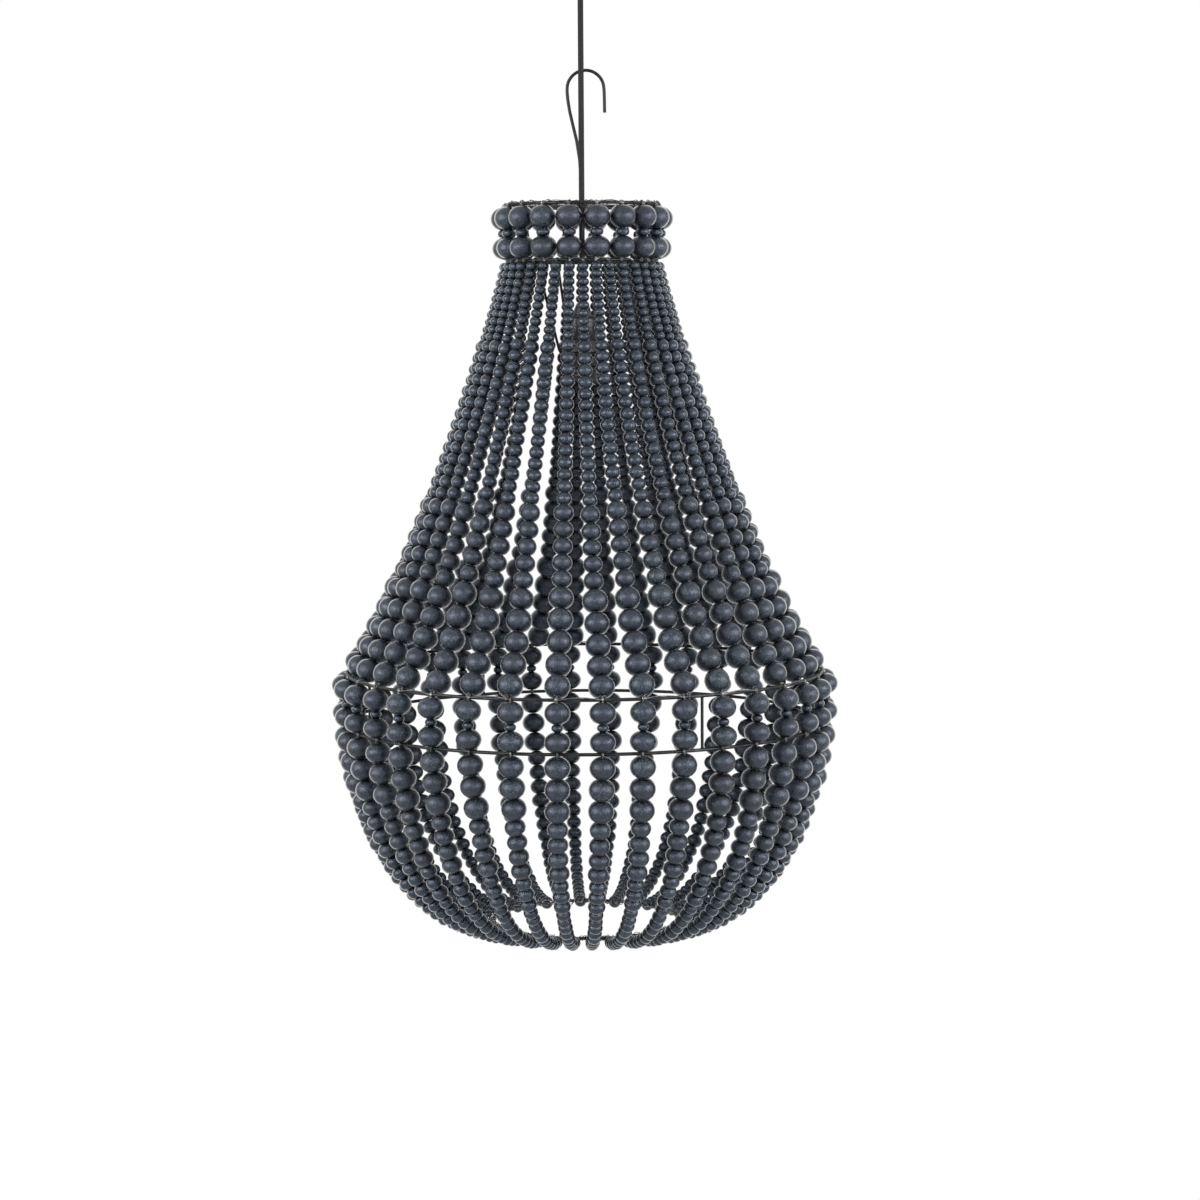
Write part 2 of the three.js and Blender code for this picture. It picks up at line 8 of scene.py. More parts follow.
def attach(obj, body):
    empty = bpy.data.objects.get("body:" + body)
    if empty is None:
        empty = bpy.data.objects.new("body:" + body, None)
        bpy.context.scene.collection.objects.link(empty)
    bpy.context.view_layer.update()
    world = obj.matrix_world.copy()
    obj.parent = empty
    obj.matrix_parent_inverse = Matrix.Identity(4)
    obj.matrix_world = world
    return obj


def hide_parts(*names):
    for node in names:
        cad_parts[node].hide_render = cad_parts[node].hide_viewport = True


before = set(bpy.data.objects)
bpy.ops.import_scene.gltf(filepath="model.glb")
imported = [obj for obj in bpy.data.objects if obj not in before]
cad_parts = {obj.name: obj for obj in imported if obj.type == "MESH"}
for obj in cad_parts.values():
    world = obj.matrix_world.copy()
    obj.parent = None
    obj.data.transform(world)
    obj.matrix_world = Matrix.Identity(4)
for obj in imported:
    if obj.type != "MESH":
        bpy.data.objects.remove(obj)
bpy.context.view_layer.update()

SEED = 36
rng = np.random.default_rng(SEED)

# Sizes in millimetres. The frames' are the solids' own, and the beads' are the scene's. The pendant's heights
# are measured from the crown's upper ring, which hangs CROWN_DROP below the ceiling, and those of the ceiling
# fitting and the cord from the ceiling.
MM = 0.001
CROWN_DROP = 242
RING_WIRE, STRUT_WIRE, SPIDER_WIRE, THREAD = 3.0, 2.6, 2.4, 0.8
CROWN_R, CROWN_FOOT_R, BELT_R, BOTTOM_R = 67.1, 64.4, 212.1, 84.5
CROWN_FOOT, BELT_TOP, BELT_FOOT, BOTTOM = -49, -412.5, -458, -639
CROWN_PHASE, BELT_PHASE = math.radians(1), math.radians(3.5)
STRINGS, COLLARS = 36, 18
STRING_TURN, COLLAR_TURN = math.radians(10), math.radians(20)

CLEAR, COLUMN_CLEAR = 1.9, 1.4  # Between a ring and the first bead of a string, or of a column
TIE = 2.773  # From a ring's radius to the strings that hang beside it
WIRE_STEP = 7.0  # Between the points of a string's wire

scene = bpy.context.scene


def placed(name, data):
    """A new object in the scene."""
    made = bpy.data.objects.new(name, data)
    scene.collection.objects.link(made)
    return made


# Camera at the photograph's viewing angle
camera_data = bpy.data.cameras.new("camera")
camera_data.lens, camera_data.sensor_width = 87, 36
camera = placed("camera", camera_data)
camera.location = (0.014, -2.58, -0.348)
camera.rotation_mode = "QUATERNION"
PITCH, ROLL = math.radians(-5.4), math.radians(-0.35)
camera.rotation_quaternion = (
    Matrix.Rotation(math.pi / 2 + PITCH, 3, "X") @ Matrix.Rotation(ROLL, 3, "Z")
).to_quaternion()
scene.camera = camera


# Meshes

def volume(co, faces):
    """Six times the volume inside the faces, negative where they face inward."""
    total = 0.0
    for f in faces:
        for k in range(1, f.shape[1] - 1):
            a, b, c = co[f[:, 0]], co[f[:, k]], co[f[:, k + 1]]
            total += float(np.einsum("ij,ij->", a, np.cross(b, c)))
    return total


def outward(co, faces):
    """The same faces, wound so that a closed bit of mesh faces outward."""
    return faces if volume(co, faces) > 0 else [f[:, ::-1] for f in faces]


class Heap:
    """Bits of mesh in millimetres that become one object. lift is the height of their origin."""

    def __init__(self, lift=-CROWN_DROP):
        self.lift = lift
        self.co, self.faces, self.kind, self.grain, self.tone = [], [], [], [], []
        self.count = 0

    def add(self, co, faces, kind=0, grain=None, tone=None):
        """kind is the material's place in the list, grain the place in the wood, tone a bead's own shade."""
        co = np.asarray(co, float)
        for f in faces:
            self.faces.append(f + self.count)
            self.kind.append(np.full(len(f), kind))
        self.co.append(co + (0, 0, self.lift))
        self.grain.append(co if grain is None else grain)
        self.tone.append(np.full(len(co), 0.5) if tone is None else tone)
        self.count += len(co)

    def solid(self, bit, kind=0, shift=(0, 0, 0)):
        """Adds a closed bit of mesh, facing outward."""
        co, faces = bit
        self.add(co + np.asarray(shift, float), outward(co, faces), kind)

    def built(self, name, materials, body, replaces, slot, sharp=40):
        """The heap as one object. Its edges are sharp from that angle on."""
        mesh = bpy.data.meshes.new(name)
        co = np.concatenate(self.co) * MM
        mesh.vertices.add(len(co))
        mesh.vertices.foreach_set("co", co.astype(np.float32).ravel())
        corners = np.concatenate([f.ravel() for f in self.faces])
        sides = np.concatenate([np.full(len(f), f.shape[1]) for f in self.faces])
        mesh.loops.add(len(corners))
        mesh.loops.foreach_set("vertex_index", corners.astype(np.int32))
        mesh.polygons.add(len(sides))
        starts = np.concatenate([[0], np.cumsum(sides)[:-1]])
        mesh.polygons.foreach_set("loop_start", starts.astype(np.int32))
        mesh.polygons.foreach_set("material_index", np.concatenate(self.kind).astype(np.int32))
        mesh.polygons.foreach_set("use_smooth", np.ones(len(sides), bool))
        mesh.update(calc_edges=True)
        mesh.validate()
        grain = mesh.attributes.new("grain", "FLOAT_VECTOR", "POINT")
        grain.data.foreach_set("vector", np.concatenate(self.grain).astype(np.float32).ravel())
        tone = mesh.attributes.new("tone", "FLOAT", "POINT")
        tone.data.foreach_set("value", np.concatenate(self.tone).astype(np.float32))
        mesh.set_sharp_from_angle(angle=math.radians(sharp))
        for material in materials:
            mesh.materials.append(material)
        piece = placed(name, mesh)
        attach(piece, body)
        if replaces:
            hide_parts(*replaces)
        return piece


def grid_faces(rows, columns, around, closed):
    """Quads between the rows of points of a grid. around joins the last column to the first, and closed joins
    the last row to the first."""
    i = np.arange(rows if closed else rows - 1)[:, None]
    j = np.arange(columns if around else columns - 1)[None, :]
    a = i * columns + j
    b = i * columns + (j + 1) % columns
    c = ((i + 1) % rows) * columns + (j + 1) % columns
    d = ((i + 1) % rows) * columns + j
    return np.stack([a, b, c, d], -1).reshape(-1, 4)


def turned(profile, segments, closed=False, ripple=None):
    """A turned bit from (radius, height) points. An open profile starts and ends on the axis. ripple tells
    how much to add to the radius at an angle, a radius and a height."""
    inner = profile if closed else profile[1:-1]
    angle = 2 * math.pi * np.arange(segments) / segments
    r = np.array([p[0] for p in inner])[:, None] + np.zeros(segments)
    z = np.array([p[1] for p in inner])[:, None] + np.zeros(segments)
    if ripple:
        r = r + ripple(angle[None, :], r, z)
    co = np.stack([r * np.cos(angle), r * np.sin(angle), z], -1).reshape(-1, 3)
    faces = [grid_faces(len(inner), segments, True, closed)]
    if not closed:
        n = len(co)
        co = np.concatenate([co, [(0, 0, profile[0][1]), (0, 0, profile[-1][1])]])
        k = np.arange(segments)
        last = (len(inner) - 1) * segments
        faces.append(np.stack([np.full(segments, n), (k + 1) % segments, k], -1))
        faces.append(np.stack([np.full(segments, n + 1), last + k, last + (k + 1) % segments], -1))
    return co, faces


TIP = 0.4  # How far a wire's end stands out, of its radius


def tube(points, radius, sides=8, closed=False):
    """A round wire along points. radius is one value, or one for each point."""
    p = np.asarray(points, float)
    n = len(p)
    if closed:
        tangent = np.roll(p, -1, 0) - np.roll(p, 1, 0)
    else:
        tangent = np.gradient(p, axis=0)
    tangent /= np.linalg.norm(tangent, axis=1)[:, None]
    radii = np.broadcast_to(np.asarray(radius, float), (n,))
    normals = np.empty_like(p)
    pick = np.eye(3)[np.argmin(np.abs(tangent[0]))]
    normal = np.cross(tangent[0], pick)
    for i in range(n):
        normal = normal - tangent[i] * normal.dot(tangent[i])
        normal /= math.sqrt(normal.dot(normal))
        normals[i] = normal
    side = np.cross(tangent, normals)
    twist = np.zeros(n)
    if closed:
        end = normals[-1] - tangent[0] * normals[-1].dot(tangent[0])
        turned_by = math.atan2(end.dot(side[0]), end.dot(normals[0]))
        twist = np.linspace(0, 1, n, endpoint=False) * turned_by * -1
    angle = 2 * math.pi * np.arange(sides)[None, :] / sides + twist[:, None]
    ring = np.cos(angle)[..., None] * normals[:, None] + np.sin(angle)[..., None] * side[:, None]
    co = (p[:, None] + ring * radii[:, None, None]).reshape(-1, 3)
    faces = [grid_faces(n, sides, True, closed)]
    if not closed:
        m = len(co)
        tips = [p[0] - tangent[0] * radii[0] * TIP, p[-1] + tangent[-1] * radii[-1] * TIP]
        co = np.concatenate([co, tips])
        k = np.arange(sides)
        last = (n - 1) * sides
        faces.append(np.stack([np.full(sides, m), (k + 1) % sides, k], -1))
        faces.append(np.stack([np.full(sides, m + 1), last + k, last + (k + 1) % sides], -1))
    return co, faces


def around(radius, angle, height):
    """Points at an angle about the pendant's axis."""
    x, y, z = np.broadcast_arrays(radius * np.cos(angle), radius * np.sin(angle), height)
    return np.stack([x, y, z], -1).astype(float)


MOST_CUT = 0.45  # Of a stretch, for the rounding of one of its ends


def filleted(points, radius, steps=6):
    """A line through points, with its corners rounded."""
    p = [np.asarray(q, float) for q in points]
    line = [p[0]]
    for before, corner, after in zip(p, p[1:], p[2:]):
        a, b = before - corner, after - corner
        la, lb = np.linalg.norm(a), np.linalg.norm(b)
        cut = min(radius, la * MOST_CUT, lb * MOST_CUT)
        start, end = corner + a / la * cut, corner + b / lb * cut
        for t in np.linspace(0, 1, steps + 1):
            line.append((1 - t) ** 2 * start + 2 * t * (1 - t) * corner + t * t * end)
    line.append(p[-1])
    return np.array(line)


def spaced(line, step):
    """The same line with points at an even step."""
    run = run_of(line)
    s = np.linspace(0, run[-1], max(2, int(run[-1] / step) + 1))
    return at(line, run, s)


def run_of(line):
    """The length along a line up to each of its points."""
    return np.concatenate([[0], np.cumsum(np.linalg.norm(np.diff(line, axis=0), axis=1))])


def at(line, run, s):
    """The points at the lengths s along a line."""
    return np.stack([np.interp(s, run, line[:, k]) for k in range(line.shape[1])], -1)


def ball(centre, radius, squash, segments):
    angles = np.linspace(0.35, math.pi - 0.35, 7)
    rows = [(radius * math.sin(t), radius * math.cos(t)) for t in angles]
    co, faces = turned([(0, radius), *rows, (0, -radius)], segments)
    return co * squash + np.asarray(centre, float), faces


# Materials

def nodes_of(name):
    """A new material, its tree and its shader."""
    material = bpy.data.materials.new(name)
    material.use_nodes = True
    return material, material.node_tree, material.node_tree.nodes["Principled BSDF"]


def node(tree, kind, inputs=(), **settings):
    """A new node. An input is a value, or another node's output."""
    made = tree.nodes.new(kind)
    for key, value in settings.items():
        setattr(made, key, value)
    for key, value in dict(inputs).items():
        if isinstance(value, bpy.types.NodeSocket):
            tree.links.new(value, made.inputs[key])
        else:
            made.inputs[key].default_value = value
    return made


def noise(tree, vector, scale, detail=4.0, rough=0.55):
    inputs = {"Vector": vector, "Scale": scale, "Detail": detail, "Roughness": rough}
    return node(tree, "ShaderNodeTexNoise", inputs).outputs["Fac"]


def stretched(tree, vector, scale):
    return node(tree, "ShaderNodeMapping", {"Vector": vector, "Scale": scale}).outputs["Vector"]


def ranged(tree, value, low, high, to_low=0.0, to_high=1.0):
    inputs = {"Value": value, "From Min": low, "From Max": high, "To Min": to_low, "To Max": to_high}
    return node(tree, "ShaderNodeMapRange", inputs).outputs["Result"]


def mixed(tree, factor, a, b):
    made = tree.nodes.new("ShaderNodeMix")
    made.data_type = "RGBA"
    for socket, value in ((made.inputs[0], factor), (made.inputs[6], a), (made.inputs[7], b)):
        if isinstance(value, bpy.types.NodeSocket):
            tree.links.new(value, socket)
        elif isinstance(value, (int, float)):
            socket.default_value = value
        else:
            socket.default_value = (*value, 1.0)
    return made.outputs[2]


def maths(tree, kind, a, b=0.0):
    made = tree.nodes.new("ShaderNodeMath")
    made.operation = kind
    for socket, value in zip(made.inputs, (a, b)):
        if isinstance(value, bpy.types.NodeSocket):
            tree.links.new(value, socket)
        else:
            socket.default_value = value
    return made.outputs[0]


def bumped(tree, shader, height, distance, strength):
    bump = node(tree, "ShaderNodeBump", {"Height": height, "Distance": distance, "Strength": strength})
    tree.links.new(bump.outputs["Normal"], shader.inputs["Normal"])


def bead_material(name, smooth, rough, tint):
    """Thin dark paint on turned wood, whose grain runs along each bead's bore."""
    material, tree, shader = nodes_of(name)
    grain = node(tree, "ShaderNodeAttribute", attribute_name="grain").outputs["Vector"]
    tone = node(tree, "ShaderNodeAttribute", attribute_name="tone").outputs["Fac"]
    streaks = noise(tree, stretched(tree, grain, (1.0, 1.0, 0.25)), 0.8, 6.0, 0.65)
    blotches = noise(tree, grain, 0.17, 3.0)
    specks = noise(tree, grain, 0.72, 5.0, 0.75)
    rubbed = noise(tree, stretched(tree, grain, (0.6, 0.6, 1.0)), 0.5, 5.0, 0.7)
    chips = noise(tree, grain, 0.8, 6.0, 0.6)
    worn_more = maths(tree, "ADD", specks, maths(tree, "MULTIPLY", tone, 0.07))
    base = mixed(tree, ranged(tree, streaks, 0.34, 0.68), (0.002, 0.003, 0.007), (0.009, 0.013, 0.021))
    # Layers over the paint: what places one, two values of it and how much shows at each, and the colour
    layers = (
        (tone, (0.0, 0.3, 0.75, 0.0), (0.011, 0.010, 0.010)),  # Browner beads
        (tone, (0.75, 1.0, 0.0, 0.7), (0.004, 0.013, 0.014)),  # Greener beads
        (blotches, (0.50, 0.75, 0.0, 0.5), (0.022, 0.027, 0.035)),
        (rubbed, (0.56, 0.69, 0.0, 0.6), (0.085, 0.092, 0.105)),
        (worn_more, (0.60, 0.68, 0.0, 0.8), (0.142, 0.160, 0.184)),
        (chips, (0.69, 0.73, 0.0, 0.85), (0.250, 0.250, 0.245)),
    )
    for where, stops, colour in layers:
        base = mixed(tree, ranged(tree, where, *stops), base, colour)
    tree.links.new(base, shader.inputs["Base Color"])
    worn = maths(tree, "ADD", maths(tree, "MULTIPLY", blotches, 0.3), maths(tree, "MULTIPLY", rubbed, 0.7))
    # Toward a bead's outline the paint is smoother and has a glossy coat, which makes its thin pale rim
    edge = node(tree, "ShaderNodeLayerWeight", {"Blend": 0.5}).outputs["Facing"]
    polish = ranged(tree, edge, 0.30, 0.58, 1.0, 0.15)
    worn = ranged(tree, worn, 0.38, 0.62, smooth, rough)
    tree.links.new(maths(tree, "MULTIPLY", worn, polish), shader.inputs["Roughness"])
    shader.inputs["Specular IOR Level"].default_value = 0.74
    shader.inputs["Specular Tint"].default_value = (*tint, 1.0)
    tree.links.new(ranged(tree, edge, 0.53, 0.67, 0.0, 1.0), shader.inputs["Coat Weight"])
    shader.inputs["Coat Roughness"].default_value = 0.05
    shader.inputs["Coat IOR"].default_value = 2.3
    uneven = noise(tree, stretched(tree, grain, (1.0, 1.0, 0.4)), 0.5, 3.0, 0.6)
    fine = maths(tree, "ADD", streaks, maths(tree, "MULTIPLY", specks, 0.5))
    bumped(tree, shader, maths(tree, "ADD", uneven, fine), 0.00035, 1.0)
    return material


def wire_material(name, dark, light, metallic, rough):
    """Steel wire with patches of scale."""
    material, tree, shader = nodes_of(name)
    place = node(tree, "ShaderNodeAttribute", attribute_name="grain").outputs["Vector"]
    patches = noise(tree, place, 0.11, 5.0, 0.6)
    fine = noise(tree, place, 1.5, 4.0)
    colour = mixed(tree, ranged(tree, patches, 0.35, 0.68), dark, light)
    tree.links.new(colour, shader.inputs["Base Color"])
    tree.links.new(ranged(tree, fine, 0.3, 0.7, rough - 0.1, rough + 0.12), shader.inputs["Roughness"])
    shader.inputs["Metallic"].default_value = metallic
    bumped(tree, shader, maths(tree, "ADD", fine, patches), 0.00008, 0.6)
    return material


def moulded_material(
    name, dark, light, rough, scale=0.35, bump=0.00003, coat=0.0, metallic=0.0, specular=0.5,
):
    """A plain finish between two shades. scale is how often they change, per millimetre."""
    material, tree, shader = nodes_of(name)
    place = node(tree, "ShaderNodeAttribute", attribute_name="grain").outputs["Vector"]
    cloud = noise(tree, place, scale, 3.0)
    fine = noise(tree, place, 3.0, 3.0)
    tree.links.new(mixed(tree, ranged(tree, cloud, 0.3, 0.7), dark, light), shader.inputs["Base Color"])
    tree.links.new(ranged(tree, fine, 0.3, 0.7, rough - 0.08, rough + 0.08), shader.inputs["Roughness"])
    shader.inputs["Metallic"].default_value = metallic
    shader.inputs["Specular IOR Level"].default_value = specular
    shader.inputs["Coat Weight"].default_value = coat
    shader.inputs["Coat Roughness"].default_value = 0.2
    bumped(tree, shader, fine, bump, 0.7)
    return material


paint = bead_material("bead_paint", 0.25, 0.46, (0.70, 0.80, 0.98))
thick_paint = bead_material("small_bead_paint", 0.15, 0.35, (0.66, 0.79, 0.98))
ring_steel = wire_material("ring_steel", (0.010, 0.010, 0.011), (0.042, 0.042, 0.044), 0.6, 0.40)
tie_steel = wire_material("tie_steel", (0.110, 0.110, 0.112), (0.380, 0.375, 0.370), 0.85, 0.34)
hook_steel = moulded_material("hook_steel", (0.004, 0.004, 0.005), (0.009, 0.009, 0.010), 0.42, specular=0.3)
bakelite = moulded_material("bakelite", (0.011, 0.013, 0.017), (0.020, 0.023, 0.029), 0.32, coat=0.15)
collar_plastic = moulded_material("collar_plastic", (0.016, 0.019, 0.024), (0.026, 0.030, 0.037), 0.40)
sheath = moulded_material(
    "cord_sheath", (0.006, 0.006, 0.007), (0.012, 0.012, 0.014), 0.50, scale=0.6, specular=0.2,
)
powder = moulded_material(
    "powder_coat", (0.022, 0.024, 0.027), (0.032, 0.034, 0.038), 0.52, scale=0.05, bump=0.00006,
)
white_plastic = moulded_material("terminal_plastic", (0.70, 0.68, 0.62), (0.76, 0.74, 0.69), 0.42)
brass = moulded_material("brass", (0.42, 0.27, 0.10), (0.62, 0.43, 0.18), 0.30, scale=0.2, metallic=1.0)
zinc = moulded_material("zinc", (0.38, 0.39, 0.40), (0.58, 0.59, 0.61), 0.36, scale=0.4, metallic=1.0)


# Bead strings

# A bead's form from each diameter up: the flat end's share of its width, and a power that fills out its curve
BEAD_FORMS = [(21.95, 0.22, 0.96), (18, 0.31, 0.96), (13.5, 0.38, 0.96), (0, 0.50, 0.88)]
# A bead shorter than this share of its width, and its form
NECK, NECK_FORM = 0.6, (0.70, 0.75)
# Beads wider than each of these: one with a finer mesh, and one with the thinner paint
FINE_FROM, THIN_PAINT_FROM = 13, 15
# Segments and steps of a bead's mesh
FINE_MESH, PLAIN_MESH = (28, 13), (20, 9)
BEAD_SHARE = 0.985  # Of a bead's place on the string, the rest is the gap to the next bead


def bead_form(diameter, length):
    if length < NECK * diameter:
        return NECK_FORM
    return next(form for least, *form in BEAD_FORMS if diameter > least)


def bead_template(diameter, length, segments, steps):
    """A turned bead on the Z axis, with its drilled hole. A large bead is nearly a ball."""
    radius, half = diameter / 2, length / 2
    share, power = bead_form(diameter, length)
    rim = radius * share
    hole = min(1.4, radius * 0.22)
    top = math.acos(rim / radius)
    outer = []
    for t in np.linspace(top, -top, steps):
        outer.append((radius * math.cos(t) ** power, half * math.sin(t) / math.sin(top)))
    scale = rim / outer[0][0]
    outer[0] = outer[0][0] * scale, half
    outer[-1] = outer[-1][0] * scale, -half
    lip = min(0.5, half * 0.2)
    profile = outer + [
        ((rim + hole) / 2, -half + lip * 0.3),
        (hole, -half + lip),
        (hole, half - lip),
        ((rim + hole) / 2, half - lip * 0.3),
    ]
    co, faces = turned(profile, segments, closed=True)
    return co, outward(co, faces)


# How beads differ: tilt on the wire, play across it, and change of diameter, with the limits of the last two
TILT, PLAY, MOST_PLAY = 0.035, 0.15, 0.25
SIZE_CHANGE, SIZE_LIMITS = (-0.004, 0.018), (-0.045, 0.014)
GRAIN_SHIFT = 400  # Between one bead's place in the wood and another's
REACH = 1.5  # Along the wire, to each side of a bead's centre, for its direction

templates = {}


def beads(heap, line, run, centres, length, diameter, lengths=None):
    """Beads of one size on a line, each a little different from the next. lengths are their own lengths."""
    key = (round(diameter, 2), round(length, 2))
    if key not in templates:
        mesh = FINE_MESH if diameter > FINE_FROM else PLAIN_MESH
        templates[key] = bead_template(diameter, length * BEAD_SHARE, *mesh)
    local, faces = templates[key]
    n = len(centres)
    centres = np.asarray(centres)
    place = at(line, run, centres)
    ahead = at(line, run, centres + REACH) - at(line, run, centres - REACH)
    axis = ahead / np.linalg.norm(ahead, axis=1)[:, None] + rng.normal(0, TILT, (n, 3))
    axis /= np.linalg.norm(axis, axis=1)[:, None]
    spin = rng.normal(size=(n, 3))
    x = np.cross(spin, axis)
    x /= np.linalg.norm(x, axis=1)[:, None]
    y = np.cross(axis, x)
    place = place + x * rng.normal(0, PLAY, (n, 1)).clip(-MOST_PLAY, MOST_PLAY)
    size = 1 + rng.normal(*SIZE_CHANGE, (n, 1)).clip(*SIZE_LIMITS)
    tall = np.ones((n, 1)) if lengths is None else (lengths / length)[:, None]
    stretch = np.concatenate([size, size, tall], 1)
    turn = np.stack([x, y, axis], -1) * stretch[:, None, :]
    co = place[:, None] + np.einsum("nij,kj->nki", turn, local)
    shift = rng.uniform(-GRAIN_SHIFT, GRAIN_SHIFT, (n, 1, 3))
    grain = (np.broadcast_to(local, (n, *local.shape)) + shift).reshape(-1, 3)
    tone = np.repeat(rng.random(n), len(local))
    k = np.arange(n)[:, None, None] * len(local)
    all_faces = [(f[None] + k).reshape(-1, f.shape[1]) for f in faces]
    heap.add(co.reshape(-1, 3), all_faces, 0 if diameter > THIN_PAINT_FROM else 2, grain, tone)


def bezier(p0, p1, p2, p3):
    t = np.linspace(0, 1, 400)[:, None]
    p0, p1, p2, p3 = (np.array(p, float) for p in (p0, p1, p2, p3))
    return (1 - t) ** 3 * p0 + 3 * (1 - t) ** 2 * t * p1 + 3 * (1 - t) * t ** 2 * p2 + t ** 3 * p3


# Each size on a string: diameter, step and count, from the top down
SKIRT = [(10.0, 7.1, 10), (13.0, 10.4, 14), (17.0, 14.9, 5), (21.9, 19.6, 5)]
BOWL = [(21.9, 18.9, 3), (17.7, 13.9, 4), (14.8, 11.6, 3), (12.6, 9.6, 5), (11.6, 7.4, 6)]
# A column: its large beads' diameter, and its small bead's diameter and length
CROWN_COLUMN, BELT_COLUMN = (23.3, 11.8, 5.8), (22.2, 9.8, 6.0)
UPPER_SHARE = 0.51  # Of a column's large beads, the upper one's
SQUEEZE = 0.4  # How far a column's small bead reaches into the large ones' dimples, at both ends together
# How the steps on a string differ: all of one size together, and one by one, with its limit
SIZE_DRIFT, STEP_DRIFT, MOST_DRIFT = 0.012, 0.03, 0.06
# Radii and heights of a string from its upper to its lower ring
SKIRT_LINE = bezier((67.173, -49), (83.573, -124), (170.327, -373.1), (209.327, -410.1))
BOWL_LINE = bezier((214.873, -458), (191.873, -635), (104.5, -643.3), (89.5, -640.9))


def on_curve(flat, first, last, bow):
    """A curve of radius and height, turned to its place. It drifts sideways on its way down, and bows."""
    fall = (flat[0, 1] - flat[:, 1]) / (flat[0, 1] - flat[-1, 1])
    turn = first + fall * (last - first) + bow * np.sin(math.pi * fall.clip(0, 1)) / flat[:, 0]
    return around(flat[:, 0], turn, flat[:, 1])


def filled(heap, flat, first, last, sizes, bow):
    """A string's beads, close together from its upper ring down to its lower one."""
    line = on_curve(flat, first, last, bow)
    run = run_of(flat)
    steps = [np.full(count, step) * (1 + rng.normal(0, SIZE_DRIFT)) for _, step, count in sizes]
    steps = np.concatenate(steps)
    steps *= 1 + rng.normal(0, STEP_DRIFT, len(steps)).clip(-MOST_DRIFT, MOST_DRIFT)
    steps *= (run[-1] - CLEAR) / steps.sum()
    centres = CLEAR + np.cumsum(steps) - steps / 2
    done = 0
    for diameter, step, count in sizes:
        some = slice(done, done + count)
        beads(heap, line, run, centres[some], step, diameter, steps[some])
        done += count
    return line


def column(heap, top, foot, angle, sizes):
    """Two large beads between a pair of rings, with a small one between them."""
    bead, neck, gap = sizes
    flat = np.array([top, foot], float)
    line, run = on_curve(flat, angle, angle, 0), run_of(flat)
    whole = run[-1] - 2 * COLUMN_CLEAR - gap
    upper, lower = whole * UPPER_SHARE, whole * (1 - UPPER_SHARE)
    beads(heap, line, run, [COLUMN_CLEAR + upper / 2], upper, bead)
    beads(heap, line, run, [COLUMN_CLEAR + upper + gap / 2], gap + SQUEEZE, neck)
    beads(heap, line, run, [run[-1] - COLUMN_CLEAR - lower / 2], lower, bead)
    return line


# A tie: its pitch along the ring and its lift off it, and the heights from the ring between which its end is
# twisted round the string, and in how many turns
TIE_PITCH, TIE_LIFT = 1.05, 0.05
TWIST_START, TWIST_END, TWIST_TURNS = 1.2, 2.5, 1.6


def coil(ring_radius, height, angle, turns, start, hand):
    """Points of a wire wound round a ring's wire at that angle."""
    t = np.linspace(0, turns, max(4, int(turns * 10)))
    turn = start + hand * 2 * math.pi * t
    r = RING_WIRE / 2 + THREAD / 2 + TIE_LIFT
    along = angle + TIE_PITCH * (t - turns / 2) / ring_radius
    return around(ring_radius + r * np.cos(turn), along, height + r * np.sin(turn))


def twist_round(foot, head, turns, radius):
    """Points of a wire end twisted round another wire."""
    foot, head = np.asarray(foot, float), np.asarray(head, float)
    axis = (head - foot) / np.linalg.norm(head - foot)
    x = np.cross(axis, (0.3, 0.9, 0.1))
    x /= np.linalg.norm(x)
    y = np.cross(axis, x)
    t = np.linspace(0, 1, int(turns * 9))[:, None]
    a = 2 * math.pi * turns * t
    return foot + (head - foot) * t + radius * (np.cos(a) * x + np.sin(a) * y)


def tied(heap, ring_radius, height, angle, side, turns=2.0, out=1):
    """A string's wire wound round a ring, and its end twisted round itself. side is 1 above the ring, -1
    below. out is 1 where the string meets the ring's outer side, -1 where it meets the inner side."""
    hand = 1 if rng.random() < 0.5 else -1
    start = side * math.pi / 2 + rng.uniform(-0.5, 0.5)
    heap.solid(tube(coil(ring_radius, height, angle, turns, start, hand), THREAD / 2, 6), 1)
    foot = around(ring_radius + out * TIE, angle, height + side * TWIST_START)
    head = around(ring_radius + out * TIE, angle, height + side * TWIST_END)
    heap.solid(tube(twist_round(foot, head, TWIST_TURNS, THREAD * 0.85), THREAD * 0.42, 5), 1)


def link(ring_radius, height, first, second):
    """The wire from one string to the next, along the top of the ring."""
    t = np.linspace(0, 1, 9)
    rise = np.sin(math.pi * t)
    turn = first + (second - first) * t
    return around(ring_radius + TIE * (1 - 0.55 * rise), turn, height + TIE * 0.75 * rise)


def tail(ring_radius, height, angle, first, last):
    """A wire's end bent round the ring, from one part of a half turn to another."""
    turn = np.linspace(first, last, 6) * math.pi
    return around(ring_radius + TIE * np.cos(turn) * 0.8, angle, height + TIE * np.sin(turn) * 0.8)


PAIR_MATERIALS = [paint, tie_steel, thick_paint]


def wired(heap, legs, bridge, name, replaced, k):
    """A pair of strings or columns as one object. Its wire is one length, looped over the upper ring."""
    wire = np.concatenate([legs[0][::-1], bridge[1:-1], legs[1]])
    heap.solid(tube(wire, THREAD / 2, 6), 1)
    number = f"{k + 1:02d}"
    heap.built(f"{name}_{number}", PAIR_MATERIALS, "pendant", [f"{replaced}_{number}"], "beads")


